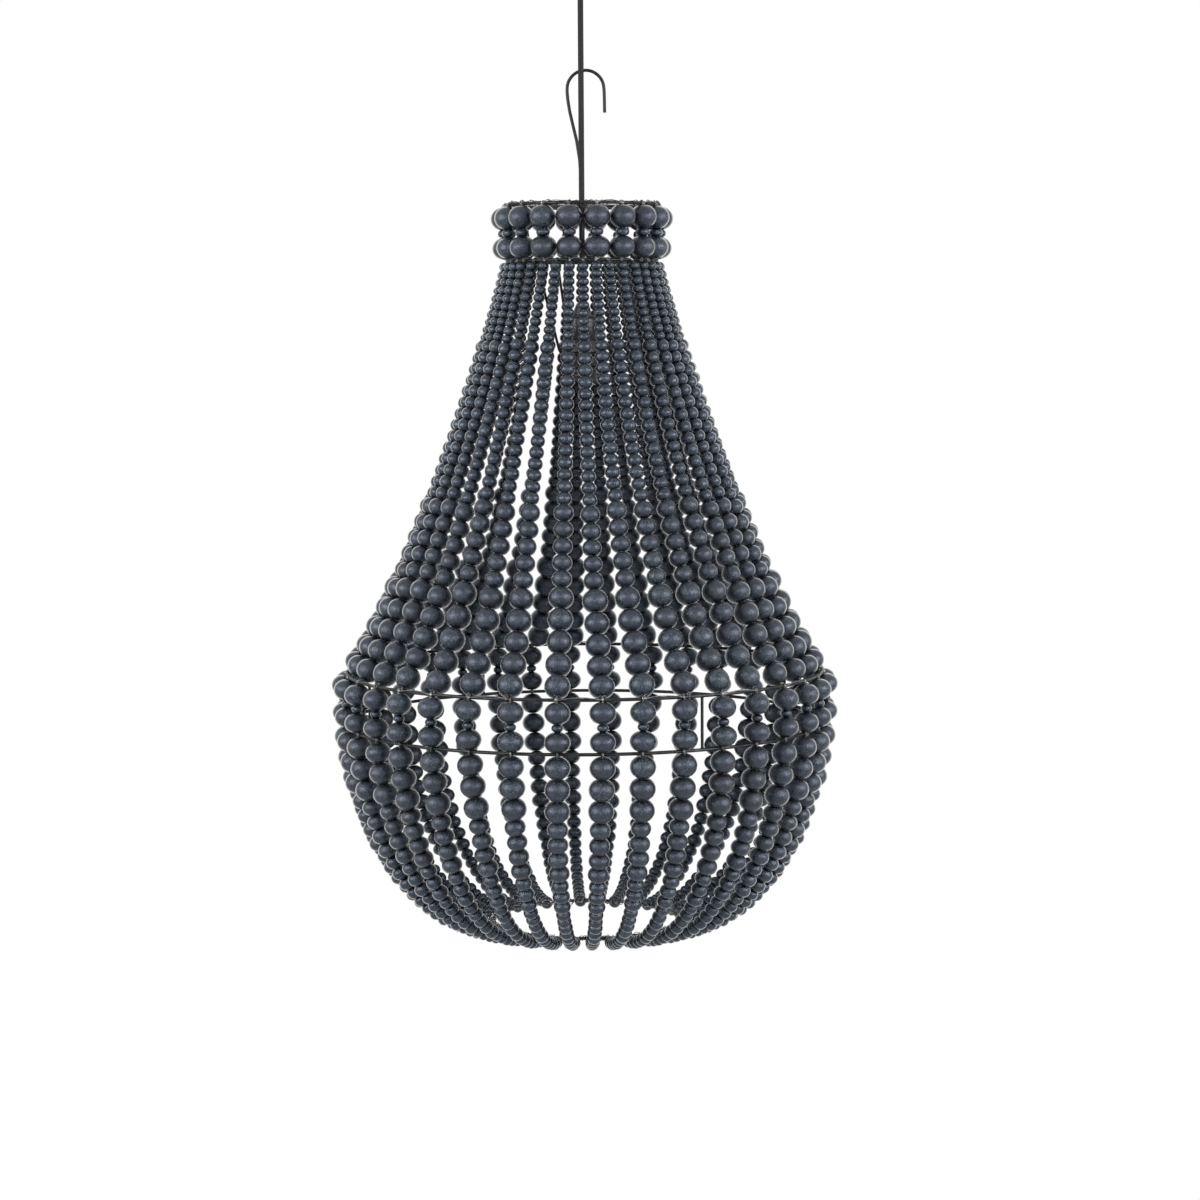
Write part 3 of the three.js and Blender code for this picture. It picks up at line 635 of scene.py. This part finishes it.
# The strings slide along the rings and bow sideways a little, so that none hangs quite as in a drawing:
# degrees on the crown's and on the belt's ring, and millimetres
MOST_CROWN_SLIDE, MOST_BELT_SLIDE, MOST_BOW = 0.6, 0.9, 3.2
CROWN_SLIDE = np.radians(rng.uniform(-MOST_CROWN_SLIDE, MOST_CROWN_SLIDE, STRINGS))
BELT_SLIDE = np.radians(rng.uniform(-MOST_BELT_SLIDE, MOST_BELT_SLIDE, STRINGS))
BOW = rng.uniform(-MOST_BOW, MOST_BOW, STRINGS)
BOWL_BOW = 0.7  # Of the bow of a skirt string
# A bowl string has the bow and the belt slide of a skirt string so many places before it, and on the bottom
# ring the slide that another has on the crown
BELT_BACK, BOTTOM_BACK = 9, 5

for k in range(STRINGS // 2):
    angles = [CROWN_PHASE + STRING_TURN * n + CROWN_SLIDE[n] for n in (2 * k, 2 * k + 1)]
    heap = Heap()
    legs = []
    for n, angle in zip((2 * k, 2 * k + 1), angles):
        low = BELT_PHASE + STRING_TURN * n + BELT_SLIDE[n]
        line = filled(heap, SKIRT_LINE, angle, low, SKIRT, BOW[n])
        start = around(CROWN_FOOT_R + TIE, angle, CROWN_FOOT)[None]
        end = tail(BELT_R, BELT_TOP, low, 1.0, 1.35)
        legs.append(np.concatenate([start, spaced(line, WIRE_STEP), end]))
        tied(heap, CROWN_FOOT_R, CROWN_FOOT, angle, -1)
        tied(heap, BELT_R, BELT_TOP, low, 1, 1.5, -1)
    wired(heap, legs, link(CROWN_FOOT_R, CROWN_FOOT, *angles), "skirt_strings", "upper_strands", k)

for k in range(STRINGS // 2):
    angles = [BELT_PHASE + STRING_TURN * n + BELT_SLIDE[n - BELT_BACK] for n in (2 * k, 2 * k + 1)]
    heap = Heap()
    legs = []
    for n, angle in zip((2 * k, 2 * k + 1), angles):
        upper = column(heap, (BELT_R + TIE, BELT_TOP), (BELT_R + TIE, BELT_FOOT), angle, BELT_COLUMN)
        low = BELT_PHASE + STRING_TURN * n + CROWN_SLIDE[n - BOTTOM_BACK]
        line = filled(heap, BOWL_LINE, angle, low, BOWL, BOW[n - BELT_BACK] * BOWL_BOW)
        end = tail(BOTTOM_R, BOTTOM, low, -0.25, -1.0)
        legs.append(np.concatenate([spaced(upper, WIRE_STEP), spaced(line, WIRE_STEP)[1:], end]))
        tied(heap, BELT_R, BELT_TOP, angle, -1, 1.5)
        tied(heap, BELT_R, BELT_FOOT, angle, 1, 1.5)
        tied(heap, BELT_R, BELT_FOOT, angle, -1, 1.5)
    wired(heap, legs, link(BELT_R, BELT_TOP, *angles), "bowl_strings", "lower_strands", k)

for k in range(COLLARS // 2):
    angles = [CROWN_PHASE + COLLAR_TURN * n for n in (2 * k, 2 * k + 1)]
    heap = Heap()
    legs = []
    for angle in angles:
        line = column(heap, (CROWN_R + TIE, 0), (CROWN_FOOT_R + TIE, CROWN_FOOT), angle, CROWN_COLUMN)
        end = tail(CROWN_FOOT_R, CROWN_FOOT, angle, 0.25, 1.0)
        legs.append(np.concatenate([spaced(line, WIRE_STEP), end]))
        tied(heap, CROWN_R, 0, angle, -1, 2.5)
        tied(heap, CROWN_FOOT_R, CROWN_FOOT, angle, 1, 1.5)
    wired(heap, legs, link(CROWN_R, 0, *angles), "collar_columns", "collar_beads", k)


# Wire frames

WELD_RISE, WELD_SPREAD = 0.45, 2.4  # Of the butt weld in a ring
CROWN_SINK, BELT_SINK = 0.3, 0.4  # How far the wires of struts and rings run into each other
ARM_GAP = 0.3  # Between the spider's arms and the crown's lower ring
LOOPS, STRAYS = 14, 26  # Of loose wire on the crown's ring, and of wire ends on the bottom ring


def ring(heap, radius, height, seam, wire=RING_WIRE, waves=0.1, segments=216):
    """A ring of round wire, bent by hand, with the butt weld that closes it at the angle seam."""
    t = 2 * math.pi * np.arange(segments) / segments
    wander = sum(rng.normal(0, waves / k) * np.sin(k * t + rng.uniform(0, 6.3)) for k in (2, 3, 5, 9))
    rise = sum(rng.normal(0, waves / k) * np.sin(k * t + rng.uniform(0, 6.3)) for k in (2, 4, 7))
    near = np.abs((t - seam + math.pi) % (2 * math.pi) - math.pi) * radius
    thick = np.full(segments, wire / 2) + WELD_RISE * np.exp(-(near / WELD_SPREAD) ** 2)
    heap.solid(tube(around(radius + wander, t, height + rise), thick, 12, closed=True))


def weld(heap, place, size=1.9, squash=(1, 1, 0.8)):
    """The lump where two wires are welded together."""
    heap.solid(ball(place, size, squash, 10))


def wound(heap, radius, height, place, turn, lift, wire, kind):
    """Fine wire wound over a ring. place is the angle about the axis, turn that round the ring's wire."""
    r = RING_WIRE / 2 + THREAD / 2 + lift
    heap.solid(tube(around(radius + r * np.cos(turn), place, height + r * np.sin(turn)), wire, 5), kind)


heap = Heap()
ring(heap, CROWN_R, 0, 2.2)
ring(heap, CROWN_FOOT_R, CROWN_FOOT, 1.1)
inset = RING_WIRE / 2 + STRUT_WIRE / 2 - CROWN_SINK
strut = ((11, 0), (CROWN_R - inset, 0), (CROWN_FOOT_R - inset, CROWN_FOOT))
for k in range(3):
    a = math.radians(31 + 120 * k)
    heap.solid(tube(filleted([around(r, a, z) for r, z in strut], 5), STRUT_WIRE / 2, 10))
    weld(heap, around(CROWN_R - 2.2, a, 0.2))
    weld(heap, around(CROWN_FOOT_R - 2.2, a, CROWN_FOOT + 0.4))
    weld(heap, around(12.6, a, 0), 1.7, (1, 1, 0.7))
# Fine wire wound loosely over the upper ring, with its ends bent over each other. Of each winding: its start
# round the ring's wire, its turns, its lift off that wire, and its first angle and its sweep about the axis
WINDINGS = [
    (0.3, 34, 0.0, 0.4, 6.1), (1.9, 13, 0.5, 3.6, 2.1), (0.9, 9, 0.55, 5.4, 1.2), (2.2, 7, 0.5, 1.2, 0.9),
]
for start, turns, lift, first, sweep in WINDINGS:
    t = np.linspace(0, 1, int(turns * 9))
    turn = start + 2 * math.pi * (turns * t + 0.7 * np.sin(2 * math.pi * 7 * t + start))
    wound(heap, CROWN_R, 0, first + sweep * t, turn, lift, THREAD * 0.36, 0)
for _ in range(LOOPS):
    a = rng.uniform(0, 2 * math.pi)
    t = np.linspace(0, 1, 9)
    loop = around(
        CROWN_R + rng.uniform(-1.5, 1.8) + rng.uniform(-0.8, 0.8) * np.sin(math.pi * t),
        a + (t - 0.5) * rng.uniform(0.04, 0.08),
        RING_WIRE / 2 + 0.2 + rng.uniform(0.8, 1.9) * np.sin(math.pi * t),
    )
    heap.solid(tube(loop, THREAD * 0.4, 5))
heap.built("crown_wirework", [ring_steel], "pendant", ["crown_frame"], "frame_wire")

heap = Heap()
ring(heap, BELT_R, BELT_TOP, 1.9, waves=0.14, segments=288)
ring(heap, BELT_R, BELT_FOOT, 2.6, waves=0.14, segments=288)
strut_r = BELT_R - RING_WIRE / 2 - STRUT_WIRE / 2 + BELT_SINK
for k in range(4):
    a = math.radians(28 + 90 * k)
    strut = np.linspace(around(strut_r, a, BELT_TOP - 0.6), around(strut_r, a, BELT_FOOT + 0.6), 8)
    heap.solid(tube(strut, STRUT_WIRE / 2, 10))
    weld(heap, around(BELT_R - 1.9, a, BELT_TOP - 0.8))
    weld(heap, around(BELT_R - 1.9, a, BELT_FOOT + 0.8))
heap.built("belt_wirework", [ring_steel], "pendant", ["belt_frame"], "frame_wire")

# The bottom ring, with the bowl strings' ends wound over each other and twisted off
heap = Heap()
ring(heap, BOTTOM_R, BOTTOM, 0.8, waves=0.12, segments=180)
for start, turns, lift in ((0.0, 64, 0.0), (0.5, 47, 0.55), (1.4, 33, 1.0)):
    t = np.linspace(0, 1, int(turns * 9))
    wobble = 0.22 * np.sin(37 * t * 2 * math.pi + start) + 0.16 * np.sin(83 * t * 2 * math.pi)
    turn = start + 2 * math.pi * (turns * t + 1.3 * np.sin(2 * math.pi * 11 * t + start))
    lifts = lift + wobble.clip(-0.05, 1) * (lift > 0)
    wound(heap, BOTTOM_R, BOTTOM, 2 * math.pi * t, turn, lifts, THREAD * 0.42, 1)
for _ in range(STRAYS):
    a = rng.uniform(0, 2 * math.pi)
    out = rng.uniform(-1.0, 1.0)
    rise = rng.uniform(-0.8, 0.9)
    reach = rng.uniform(4, 8.5)
    lean = rng.uniform(-0.07, 0.07)
    t = np.linspace(0, 1, 6)
    far = BOTTOM_R + 2 * out + reach * out * 0.55 * t ** 1.4
    stray = around(far, a + lean * t, BOTTOM + 2 * rise + reach * rise * 0.6 * t)
    heap.solid(tube(stray, THREAD * 0.4, 5), 1)
heap.built("bottom_ring_bound", [ring_steel, tie_steel], "pendant", ["bottom_ring"], "frame_wire")

# Spider that carries the lamp holder
EYE_Z, EYE_R = -130.8, 15.0
heap = Heap()
ring(heap, EYE_R, EYE_Z, 1.0, SPIDER_WIRE, 0.0, 72)
arm_end = CROWN_FOOT_R - RING_WIRE / 2 - ARM_GAP - SPIDER_WIRE / 2
arm = ((EYE_R + 0.4, EYE_Z), (31, EYE_Z), (arm_end, -52), (arm_end, -47.5))
for k in range(3):
    a = math.radians(-9 + 120 * k)
    heap.solid(tube(filleted([around(r, a, z) for r, z in arm], 6), SPIDER_WIRE / 2, 10))
    weld(heap, around(EYE_R + 1.2, a, EYE_Z), 1.8, (1, 1, 0.72))
heap.built("holder_spider", [ring_steel], "pendant", ["lamp_spider"], "frame_wire")

# Hub with the cord's hole. The hole for the hook's stem isn't cut here, and the hook's washers hide the place
heap = Heap()
heap.solid(turned([(3.3, 1), (12.4, 1), (13, 0.5), (13, -0.5), (12.4, -1), (3.3, -1)], 48, closed=True))
heap.built("crown_hub", [ring_steel], "pendant", (), "frame_wire")

# Hook
HOOK_Y, HOOK_WIRE = 7.5, 2.9
BEND_X, BEND_Z, BEND_R = 4, 102, 16.5
steps = np.linspace(math.radians(194), 0, 26)
arc = [(BEND_X + BEND_R * math.cos(a), BEND_Z + BEND_R * math.sin(a)) for a in steps]
line = [(0, -3.0), (0, 20), (0, 46), (-2.6, 58), (-8.3, 70), (-12.0, 83), *arc, (20.7, 92), (20.7, 81.5)]
line = np.array([(x, HOOK_Y, z) for x, z in line], float)
for _ in range(3):
    line[1:-1] = (line[:-2] + 2 * line[1:-1] + line[2:]) / 4
heap = Heap()
heap.solid(tube(spaced(line, 2.0), HOOK_WIRE / 2, 12))
# A washer on the stem above the hub and one below it
for z in (1.3, -2.9):
    outline = [(1.3, z), (2.4, z), (2.7, z + 0.35), (2.7, z + 1.25), (2.4, z + 1.6), (1.3, z + 1.6)]
    heap.solid(turned(outline, 24, closed=True), 0, (0, HOOK_Y, 0))
heap.built("wire_hook", [hook_steel], "hook", ["hanging_hook"], "hook_wire")

# Lamp holder
HOLDER_TOP = -86.6
COLLAR_TOP, COLLAR_FOOT, MOUTH = -118.6, -129.3, -154.3
FLUTES, FLUTE_DEPTH = 36, 0.22
BODY_PITCH, BODY_THREAD = 4.0, 0.7
LAMP_PITCH, LAMP_THREAD = 2.82, 0.2
LOBES, LOBE_DEPTH = 12, 0.4
heap = Heap()
cap = [
    (0, 0), (3.0, 0), (3.6, -0.1), (4.8, -0.7), (6.0, -1.9), (6.9, -3.6), (7.4, -5.6), (7.6, -7.4),
    (7.6, -9.0), (7.9, -9.5), (8.8, -9.8), (10.9, -10.1), (12.4, -10.7), (13.4, -11.7), (13.9, -13.1),
    (14, -14.8), (14, -20), (13.75, -20.2), (13.75, -20.8), (14, -21), (14, -31.3), (13.8, -31.7),
    (12.4, -31.7), (12.4, -15), (0, -15),
]
heap.solid(turned(cap, 64), 0, (0, 0, HOLDER_TOP))
heap.built("holder_cap_moulded", [bakelite], "pendant", ["holder_cap"], "bakelite", 30)

heap = Heap()
body = [
    (0, COLLAR_TOP + 11), (11.9, COLLAR_TOP + 11), (12.1, COLLAR_TOP + 10.8), (12.1, COLLAR_TOP),
    (14.5, COLLAR_TOP), (15, COLLAR_TOP - 0.5),
]
body += [(15, z) for z in np.linspace(COLLAR_TOP - 1.2, COLLAR_FOOT + 1.2, 12)]
body += [(15, COLLAR_FOOT + 0.5), (14.5, COLLAR_FOOT), (12.5, COLLAR_FOOT)]
body += [(12.5, z) for z in np.linspace(COLLAR_FOOT - 0.4, MOUTH + 0.6, 76)]
body += [(12.2, MOUTH), (9.6, MOUTH), (9.2, MOUTH + 0.4), (9.2, COLLAR_TOP + 7), (0, COLLAR_TOP + 7)]


def body_ripple(angle, r, z):
    """The flutes on the body's collar, and the thread under it."""
    on_collar = (z < COLLAR_TOP - 1.6) & (z > COLLAR_FOOT + 1.6) & (r > 14.6)
    flutes = np.where(on_collar, -FLUTE_DEPTH * (0.5 - 0.5 * np.cos(FLUTES * angle)) ** 2, 0)
    on_thread = (z < COLLAR_FOOT - 0.3) & (z > MOUTH + 0.5) & (r > 12.3) & (r < 12.7)
    phase = (z / BODY_PITCH - angle / (2 * math.pi)) % 1.0
    crest = np.clip(1 - np.abs(phase - 0.5) / 0.24, 0, 1) ** 0.8
    fade = np.clip((z - MOUTH - 0.5) / 1.5, 0, 1) * np.clip((COLLAR_FOOT - 0.3 - z) / 1.5, 0, 1)
    return flutes + np.where(on_thread, BODY_THREAD * crest * fade, 0)


heap.solid(turned(body, 96, ripple=body_ripple))
heap.built("holder_body_moulded", [collar_plastic], "pendant", ["holder_body"], "bakelite", 30)

SHELL_TOP = COLLAR_TOP + 6.7
heap = Heap()
shell = [(0, SHELL_TOP), (8.6, SHELL_TOP), (8.85, SHELL_TOP - 0.3)]
shell += [(8.62, z) for z in np.linspace(SHELL_TOP - 1.5, SHELL_TOP - 29, 70)]
shell += [(8.85, SHELL_TOP - 29.7), (8.5, SHELL_TOP - 30), (8.0, SHELL_TOP - 29.7)]
shell += [(8.02, z) for z in np.linspace(SHELL_TOP - 29, SHELL_TOP - 3.4, 66)]
inside = [(7.9, 2.6), (7.4, 2.4), (3.4, 2.4), (3.0, 2.9), (2.2, 4.2), (1.2, 4.4), (0, 4.4)]
shell += [(r, SHELL_TOP - depth) for r, depth in inside]


def rolled(angle, r, z):
    """The lamp's thread, rolled into the shell's wall."""
    on = (z < SHELL_TOP - 1.4) & (z > SHELL_TOP - 29.1) & (r > 8.01) & (r < 8.7)
    fade = np.clip((SHELL_TOP - 3.2 - z) / 1.5, 0, 1) * np.clip((z - SHELL_TOP + 29.1) / 1.5, 0, 1)
    phase = z / LAMP_PITCH - angle / (2 * math.pi)
    return np.where(on, LAMP_THREAD * fade * np.sin(2 * math.pi * phase), 0)


heap.solid(turned(shell, 72, ripple=rolled))
heap.built("contact_shell", [brass], "pendant", ["contact_insert"], "brass", 40)

RING_TOP = EYE_Z - SPIDER_WIRE / 2 - 0.3


def lobes(angle, r, z):
    """The lobes round the clamping ring, shallower toward its edges."""
    middle = np.clip(1.6 - np.abs(z - RING_TOP + 4) / 2.6, 0, 1)
    dip = LOBE_DEPTH * np.cos(LOBES * angle) - LOBE_DEPTH
    return np.where(r > 17, dip * (0.4 + 0.6 * middle), 0)


heap = Heap()
outline = [(13.6, RING_TOP), (17.4, RING_TOP), (18.1, RING_TOP - 0.3)]
outline += [(18.4, z) for z in np.linspace(RING_TOP - 0.9, RING_TOP - 7.1, 7)]
outline += [(18.1, RING_TOP - 7.7), (17.4, RING_TOP - 8), (14.2, RING_TOP - 8), (13.6, RING_TOP - 7.5)]
heap.solid(turned(outline, 144, closed=True, ripple=lobes))
heap.built("clamp_ring", [bakelite], "clamp", ["shade_ring"], "bakelite", 50)

# Ceiling fitting: the cup's foot and its wall are joined by a bend about the point BEND_AT
BEND_AT, CUP_BEND, CUP_WALL = (41, -35), 7, 1.2


def cup_bend(radius, angles):
    return [(BEND_AT[0] + radius * math.sin(t), BEND_AT[1] - radius * math.cos(t)) for t in angles]


heap = Heap(0)
cup = [(6.3, -42), (40, -42), *cup_bend(CUP_BEND, np.linspace(0.1, math.pi / 2, 9))]
cup += [(48, -20), (48, -1.2), (47.8, -0.5), (47.4, -0.3), (47.0, -0.5), (46.8, -1.2), (46.8, -20)]
cup += [*cup_bend(CUP_BEND - CUP_WALL, np.linspace(math.pi / 2, 0.1, 9)), (40, -40.8), (6.3, -40.8)]
heap.solid(turned(cup, 96, closed=True))
heap.built("ceiling_cup", [powder], "fixture", ["canopy_cup"], "cup_paint", 40)

heap = Heap(0)
grip = [
    (0, -20.1), (2.5, -20.1), (2.5, -36.6), (3.2, -37.4), (8.6, -37.9), (9, -38.3), (9, -40.0),
    (8.6, -40.5), (6, -40.5), (6, -42.3), (7.6, -42.3), (8.3, -42.8), (8.5, -43.4), (8.5, -46.4),
    (8.2, -47.0), (7.5, -47.3), (5.9, -47.3), (5.6, -48.6), (5.3, -48.7), (5.25, -49.6), (5.5, -49.8),
    (5.2, -51.2), (4.9, -51.3), (4.85, -52.2), (5.1, -52.4), (4.8, -53.8), (4.5, -53.9), (4.45, -54.8),
    (4.5, -55.6), (4.2, -56.2), (3.5, -56.3), (2.9, -55.7), (2.7, -53.5), (0, -53.5),
]
heap.solid(turned(grip, 48))
heap.built("cord_grip_moulded", [bakelite], "grip", ["cord_grip"], "bakelite", 35)

# The cup's screw, laid along X in the cup's wall
SCREW_HEAD_X, SCREW_Z = 50.5, -8
heap = Heap(0)
screw = [
    (0, 0), (1.5, -0.05), (2.7, -0.35), (3.4, -0.9), (3.6, -1.6), (3.6, -2.2), (1.8, -2.2), (1.8, -10.6),
    (1.4, -11.2), (0, -11.2),
]
heap.solid(turned(screw, 32))
co = heap.co[0]
heap.co[0] = np.stack([co[:, 2] + SCREW_HEAD_X, co[:, 1], -co[:, 0] + SCREW_Z], -1)
heap.built("cup_screw", [zinc], "fixture", ["canopy_screw"], "zinc", 40)


def edged(node_name, name, materials, slot, width, extra=None):
    """A copy of one of the solids with its edges rounded by a width in metres, and what extra adds to it."""
    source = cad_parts[node_name].data
    co = np.empty(len(source.vertices) * 3, np.float32)
    source.vertices.foreach_get("co", co)
    mesh = bpy.data.meshes.new(name)
    mesh.from_pydata(co.reshape(-1, 3).tolist(), [], [list(f.vertices) for f in source.polygons])
    piece = placed(name, mesh)
    merge = piece.modifiers.new("merge", "WELD")
    merge.merge_threshold = 0.00001
    flat = piece.modifiers.new("flat", "DECIMATE")
    flat.decimate_type = "DISSOLVE"
    flat.angle_limit = math.radians(2)
    edge = piece.modifiers.new("edge", "BEVEL")
    edge.width = width
    edge.segments = 3
    edge.limit_method = "ANGLE"
    edge.angle_limit = math.radians(50)
    shaped = bpy.data.meshes.new_from_object(piece.evaluated_get(bpy.context.evaluated_depsgraph_get()))
    bpy.data.objects.remove(piece)
    heap = Heap(0)
    co = np.empty(len(shaped.vertices) * 3, np.float32)
    shaped.vertices.foreach_get("co", co)
    co = co.reshape(-1, 3) / MM
    for sides in sorted({len(f.vertices) for f in shaped.polygons}):
        faces = np.array([list(f.vertices) for f in shaped.polygons if len(f.vertices) == sides])
        heap.faces.append(faces)
        heap.kind.append(np.zeros(len(faces), int))
    heap.co.append(co)
    heap.grain.append(co)
    heap.tone.append(np.full(len(co), 0.5))
    heap.count = len(co)
    if extra:
        extra(heap)
    heap.built(name, materials, "fixture", [node_name], slot, 35)


def terminals(heap):
    """Brass tubes in the block's three holes, each with the ends of two screws in it."""
    sleeve = turned([(1.0, -7.2), (1.5, -7.2), (1.5, 7.2), (1.0, 7.2)], 20, closed=True)
    screw_end = turned([(0, 1.2), (0.7, 1.2), (0.9, 1.0), (0.9, -1.0), (0.7, -1.2), (0, -1.2)], 16)
    for x in (-9, 0, 9):
        for (co, faces), y in ((sleeve, 0), (screw_end, 3.5), (screw_end, -3.5)):
            laid = np.stack([co[:, 0], co[:, 2], -co[:, 1]], -1)
            heap.solid((laid, faces), 1, (x, y, -10.8))


edged("ceiling_bracket", "bracket_strip", [zinc], "zinc", 0.0004)
edged("terminal_block", "terminal_strip", [white_plastic, brass], "terminal_plastic", 0.0006, terminals)

# Cord, as in the part's source: a flat twin cord, with its two cores side by side and a groove between them
CORD_ROUTE = [-57.1, -75, -94, -113, -132, -151, -170, -189, -208, -227, -246, -265, -284, -303, -316, -328.3]
CORD_X, CORD_Y, CORD_SIDES = 2.5, 1.72, 32
route = spaced(np.array([(0, 0, z) for z in CORD_ROUTE], float), 6.0)
heap = Heap(0)
section = []
for t in 2 * math.pi * np.arange(CORD_SIDES) / CORD_SIDES:
    x, y = CORD_X * math.cos(t), CORD_Y * math.sin(t)
    groove = 1 - 0.34 * math.exp(-(x / 0.75) ** 2)
    core = 1 + 0.12 * math.exp(-((abs(x) - 1.3) / 0.7) ** 2)
    section.append((x, y * groove * core))
co = np.concatenate([np.insert(section, 2, p[2], axis=1) for p in route])
n = len(co)
co = np.concatenate([co, [route[0], route[-1]]])
k = np.arange(CORD_SIDES)
last = (len(route) - 1) * CORD_SIDES
faces = [
    grid_faces(len(route), CORD_SIDES, True, False),
    np.stack([np.full(CORD_SIDES, n), (k + 1) % CORD_SIDES, k], -1),
    np.stack([np.full(CORD_SIDES, n + 1), last + k, last + (k + 1) % CORD_SIDES], -1),
]
heap.solid((co, faces))
flex = heap.built("pendant_flex", [sheath], "pendant", ["cord"], "cord_sheath", 60)


# Floor, light and background

def light_paths(tree):
    """1 for what the camera sees, also in a reflection, and 0 for light that falls on things."""
    paths = tree.nodes.new("ShaderNodeLightPath")
    seen = maths(tree, "MAXIMUM", paths.outputs["Is Camera Ray"], paths.outputs["Is Glossy Ray"])
    return maths(tree, "MAXIMUM", seen, paths.outputs["Is Transmission Ray"])


world = bpy.data.worlds.new("studio")
scene.world = world
world.use_nodes = True
tree = world.node_tree
tree.nodes.clear()
fill = node(tree, "ShaderNodeBackground", {"Color": (0.97, 0.985, 1.0, 1), "Strength": 0.2})
white = node(tree, "ShaderNodeBackground", {"Color": (1, 1, 1, 1), "Strength": 1.0})
blend = node(tree, "ShaderNodeMixShader", {0: light_paths(tree), 1: fill.outputs[0], 2: white.outputs[0]})
node(tree, "ShaderNodeOutputWorld", {"Surface": blend.outputs[0]})

FLOOR_Z, FLOOR_R, FLOOR_SIDES = -2.4, 3.4, 96
FADE_START, FADE_END = 1.3, 2.9  # Where the floor turns to the background's white, from the middle
mesh = bpy.data.meshes.new("floor")
angles = 2 * math.pi * np.arange(FLOOR_SIDES) / FLOOR_SIDES
outline = [(FLOOR_R * math.cos(a), FLOOR_R * math.sin(a), FLOOR_Z) for a in angles]
mesh.from_pydata(outline, [], [list(range(FLOOR_SIDES))])
floor = placed("floor", mesh)
material = bpy.data.materials.new("pale_floor")
material.use_nodes = True
tree = material.node_tree
tree.nodes.clear()
place = node(tree, "ShaderNodeNewGeometry").outputs["Position"]
flat = node(tree, "ShaderNodeVectorMath", {0: place, 1: (1, 1, 0)}, operation="MULTIPLY").outputs["Vector"]
reach = node(tree, "ShaderNodeVectorMath", {0: flat}, operation="LENGTH").outputs["Value"]
edge = ranged(tree, reach, FADE_START, FADE_END)
matt = node(tree, "ShaderNodeBsdfDiffuse", {"Color": (0.55, 0.55, 0.55, 1)})
glow = node(tree, "ShaderNodeEmission", {"Color": (1, 1, 1, 1), "Strength": 0.62})
lit = node(tree, "ShaderNodeAddShader", {0: matt.outputs[0], 1: glow.outputs[0]})
plain = node(tree, "ShaderNodeEmission", {"Color": (1, 1, 1, 1), "Strength": 1.0})
seen = node(tree, "ShaderNodeMixShader", {0: edge, 1: lit.outputs[0], 2: plain.outputs[0]})
bounce = node(tree, "ShaderNodeBsdfDiffuse", {"Color": (0.75, 0.75, 0.75, 1)})
both = node(tree, "ShaderNodeMixShader", {0: light_paths(tree), 1: bounce.outputs[0], 2: seen.outputs[0]})
node(tree, "ShaderNodeOutputMaterial", {"Surface": both.outputs[0]})
mesh.materials.append(material)


def softbox(name, place, target, size, power):
    data = bpy.data.lights.new(name, "AREA")
    data.shape = "RECTANGLE"
    data.size, data.size_y = size
    data.energy = power
    lamp = placed(name, data)
    lamp.location = place
    lamp.rotation_mode = "QUATERNION"
    lamp.rotation_quaternion = (Vector(target) - Vector(place)).to_track_quat("-Z", "Y")
    lamp.visible_camera = False


CENTRE = (0, 0, -0.56)
for name, x in (("left_softbox", -2.15), ("right_softbox", 2.15)):
    softbox(name, (x, -1.45, 0.05), CENTRE, (1.6, 0.88), 54)
softbox("front_softbox", (0.0, -3.0, 0.1), CENTRE, (2.4, 0.4), 7)

scene.view_settings.view_transform = "Standard"
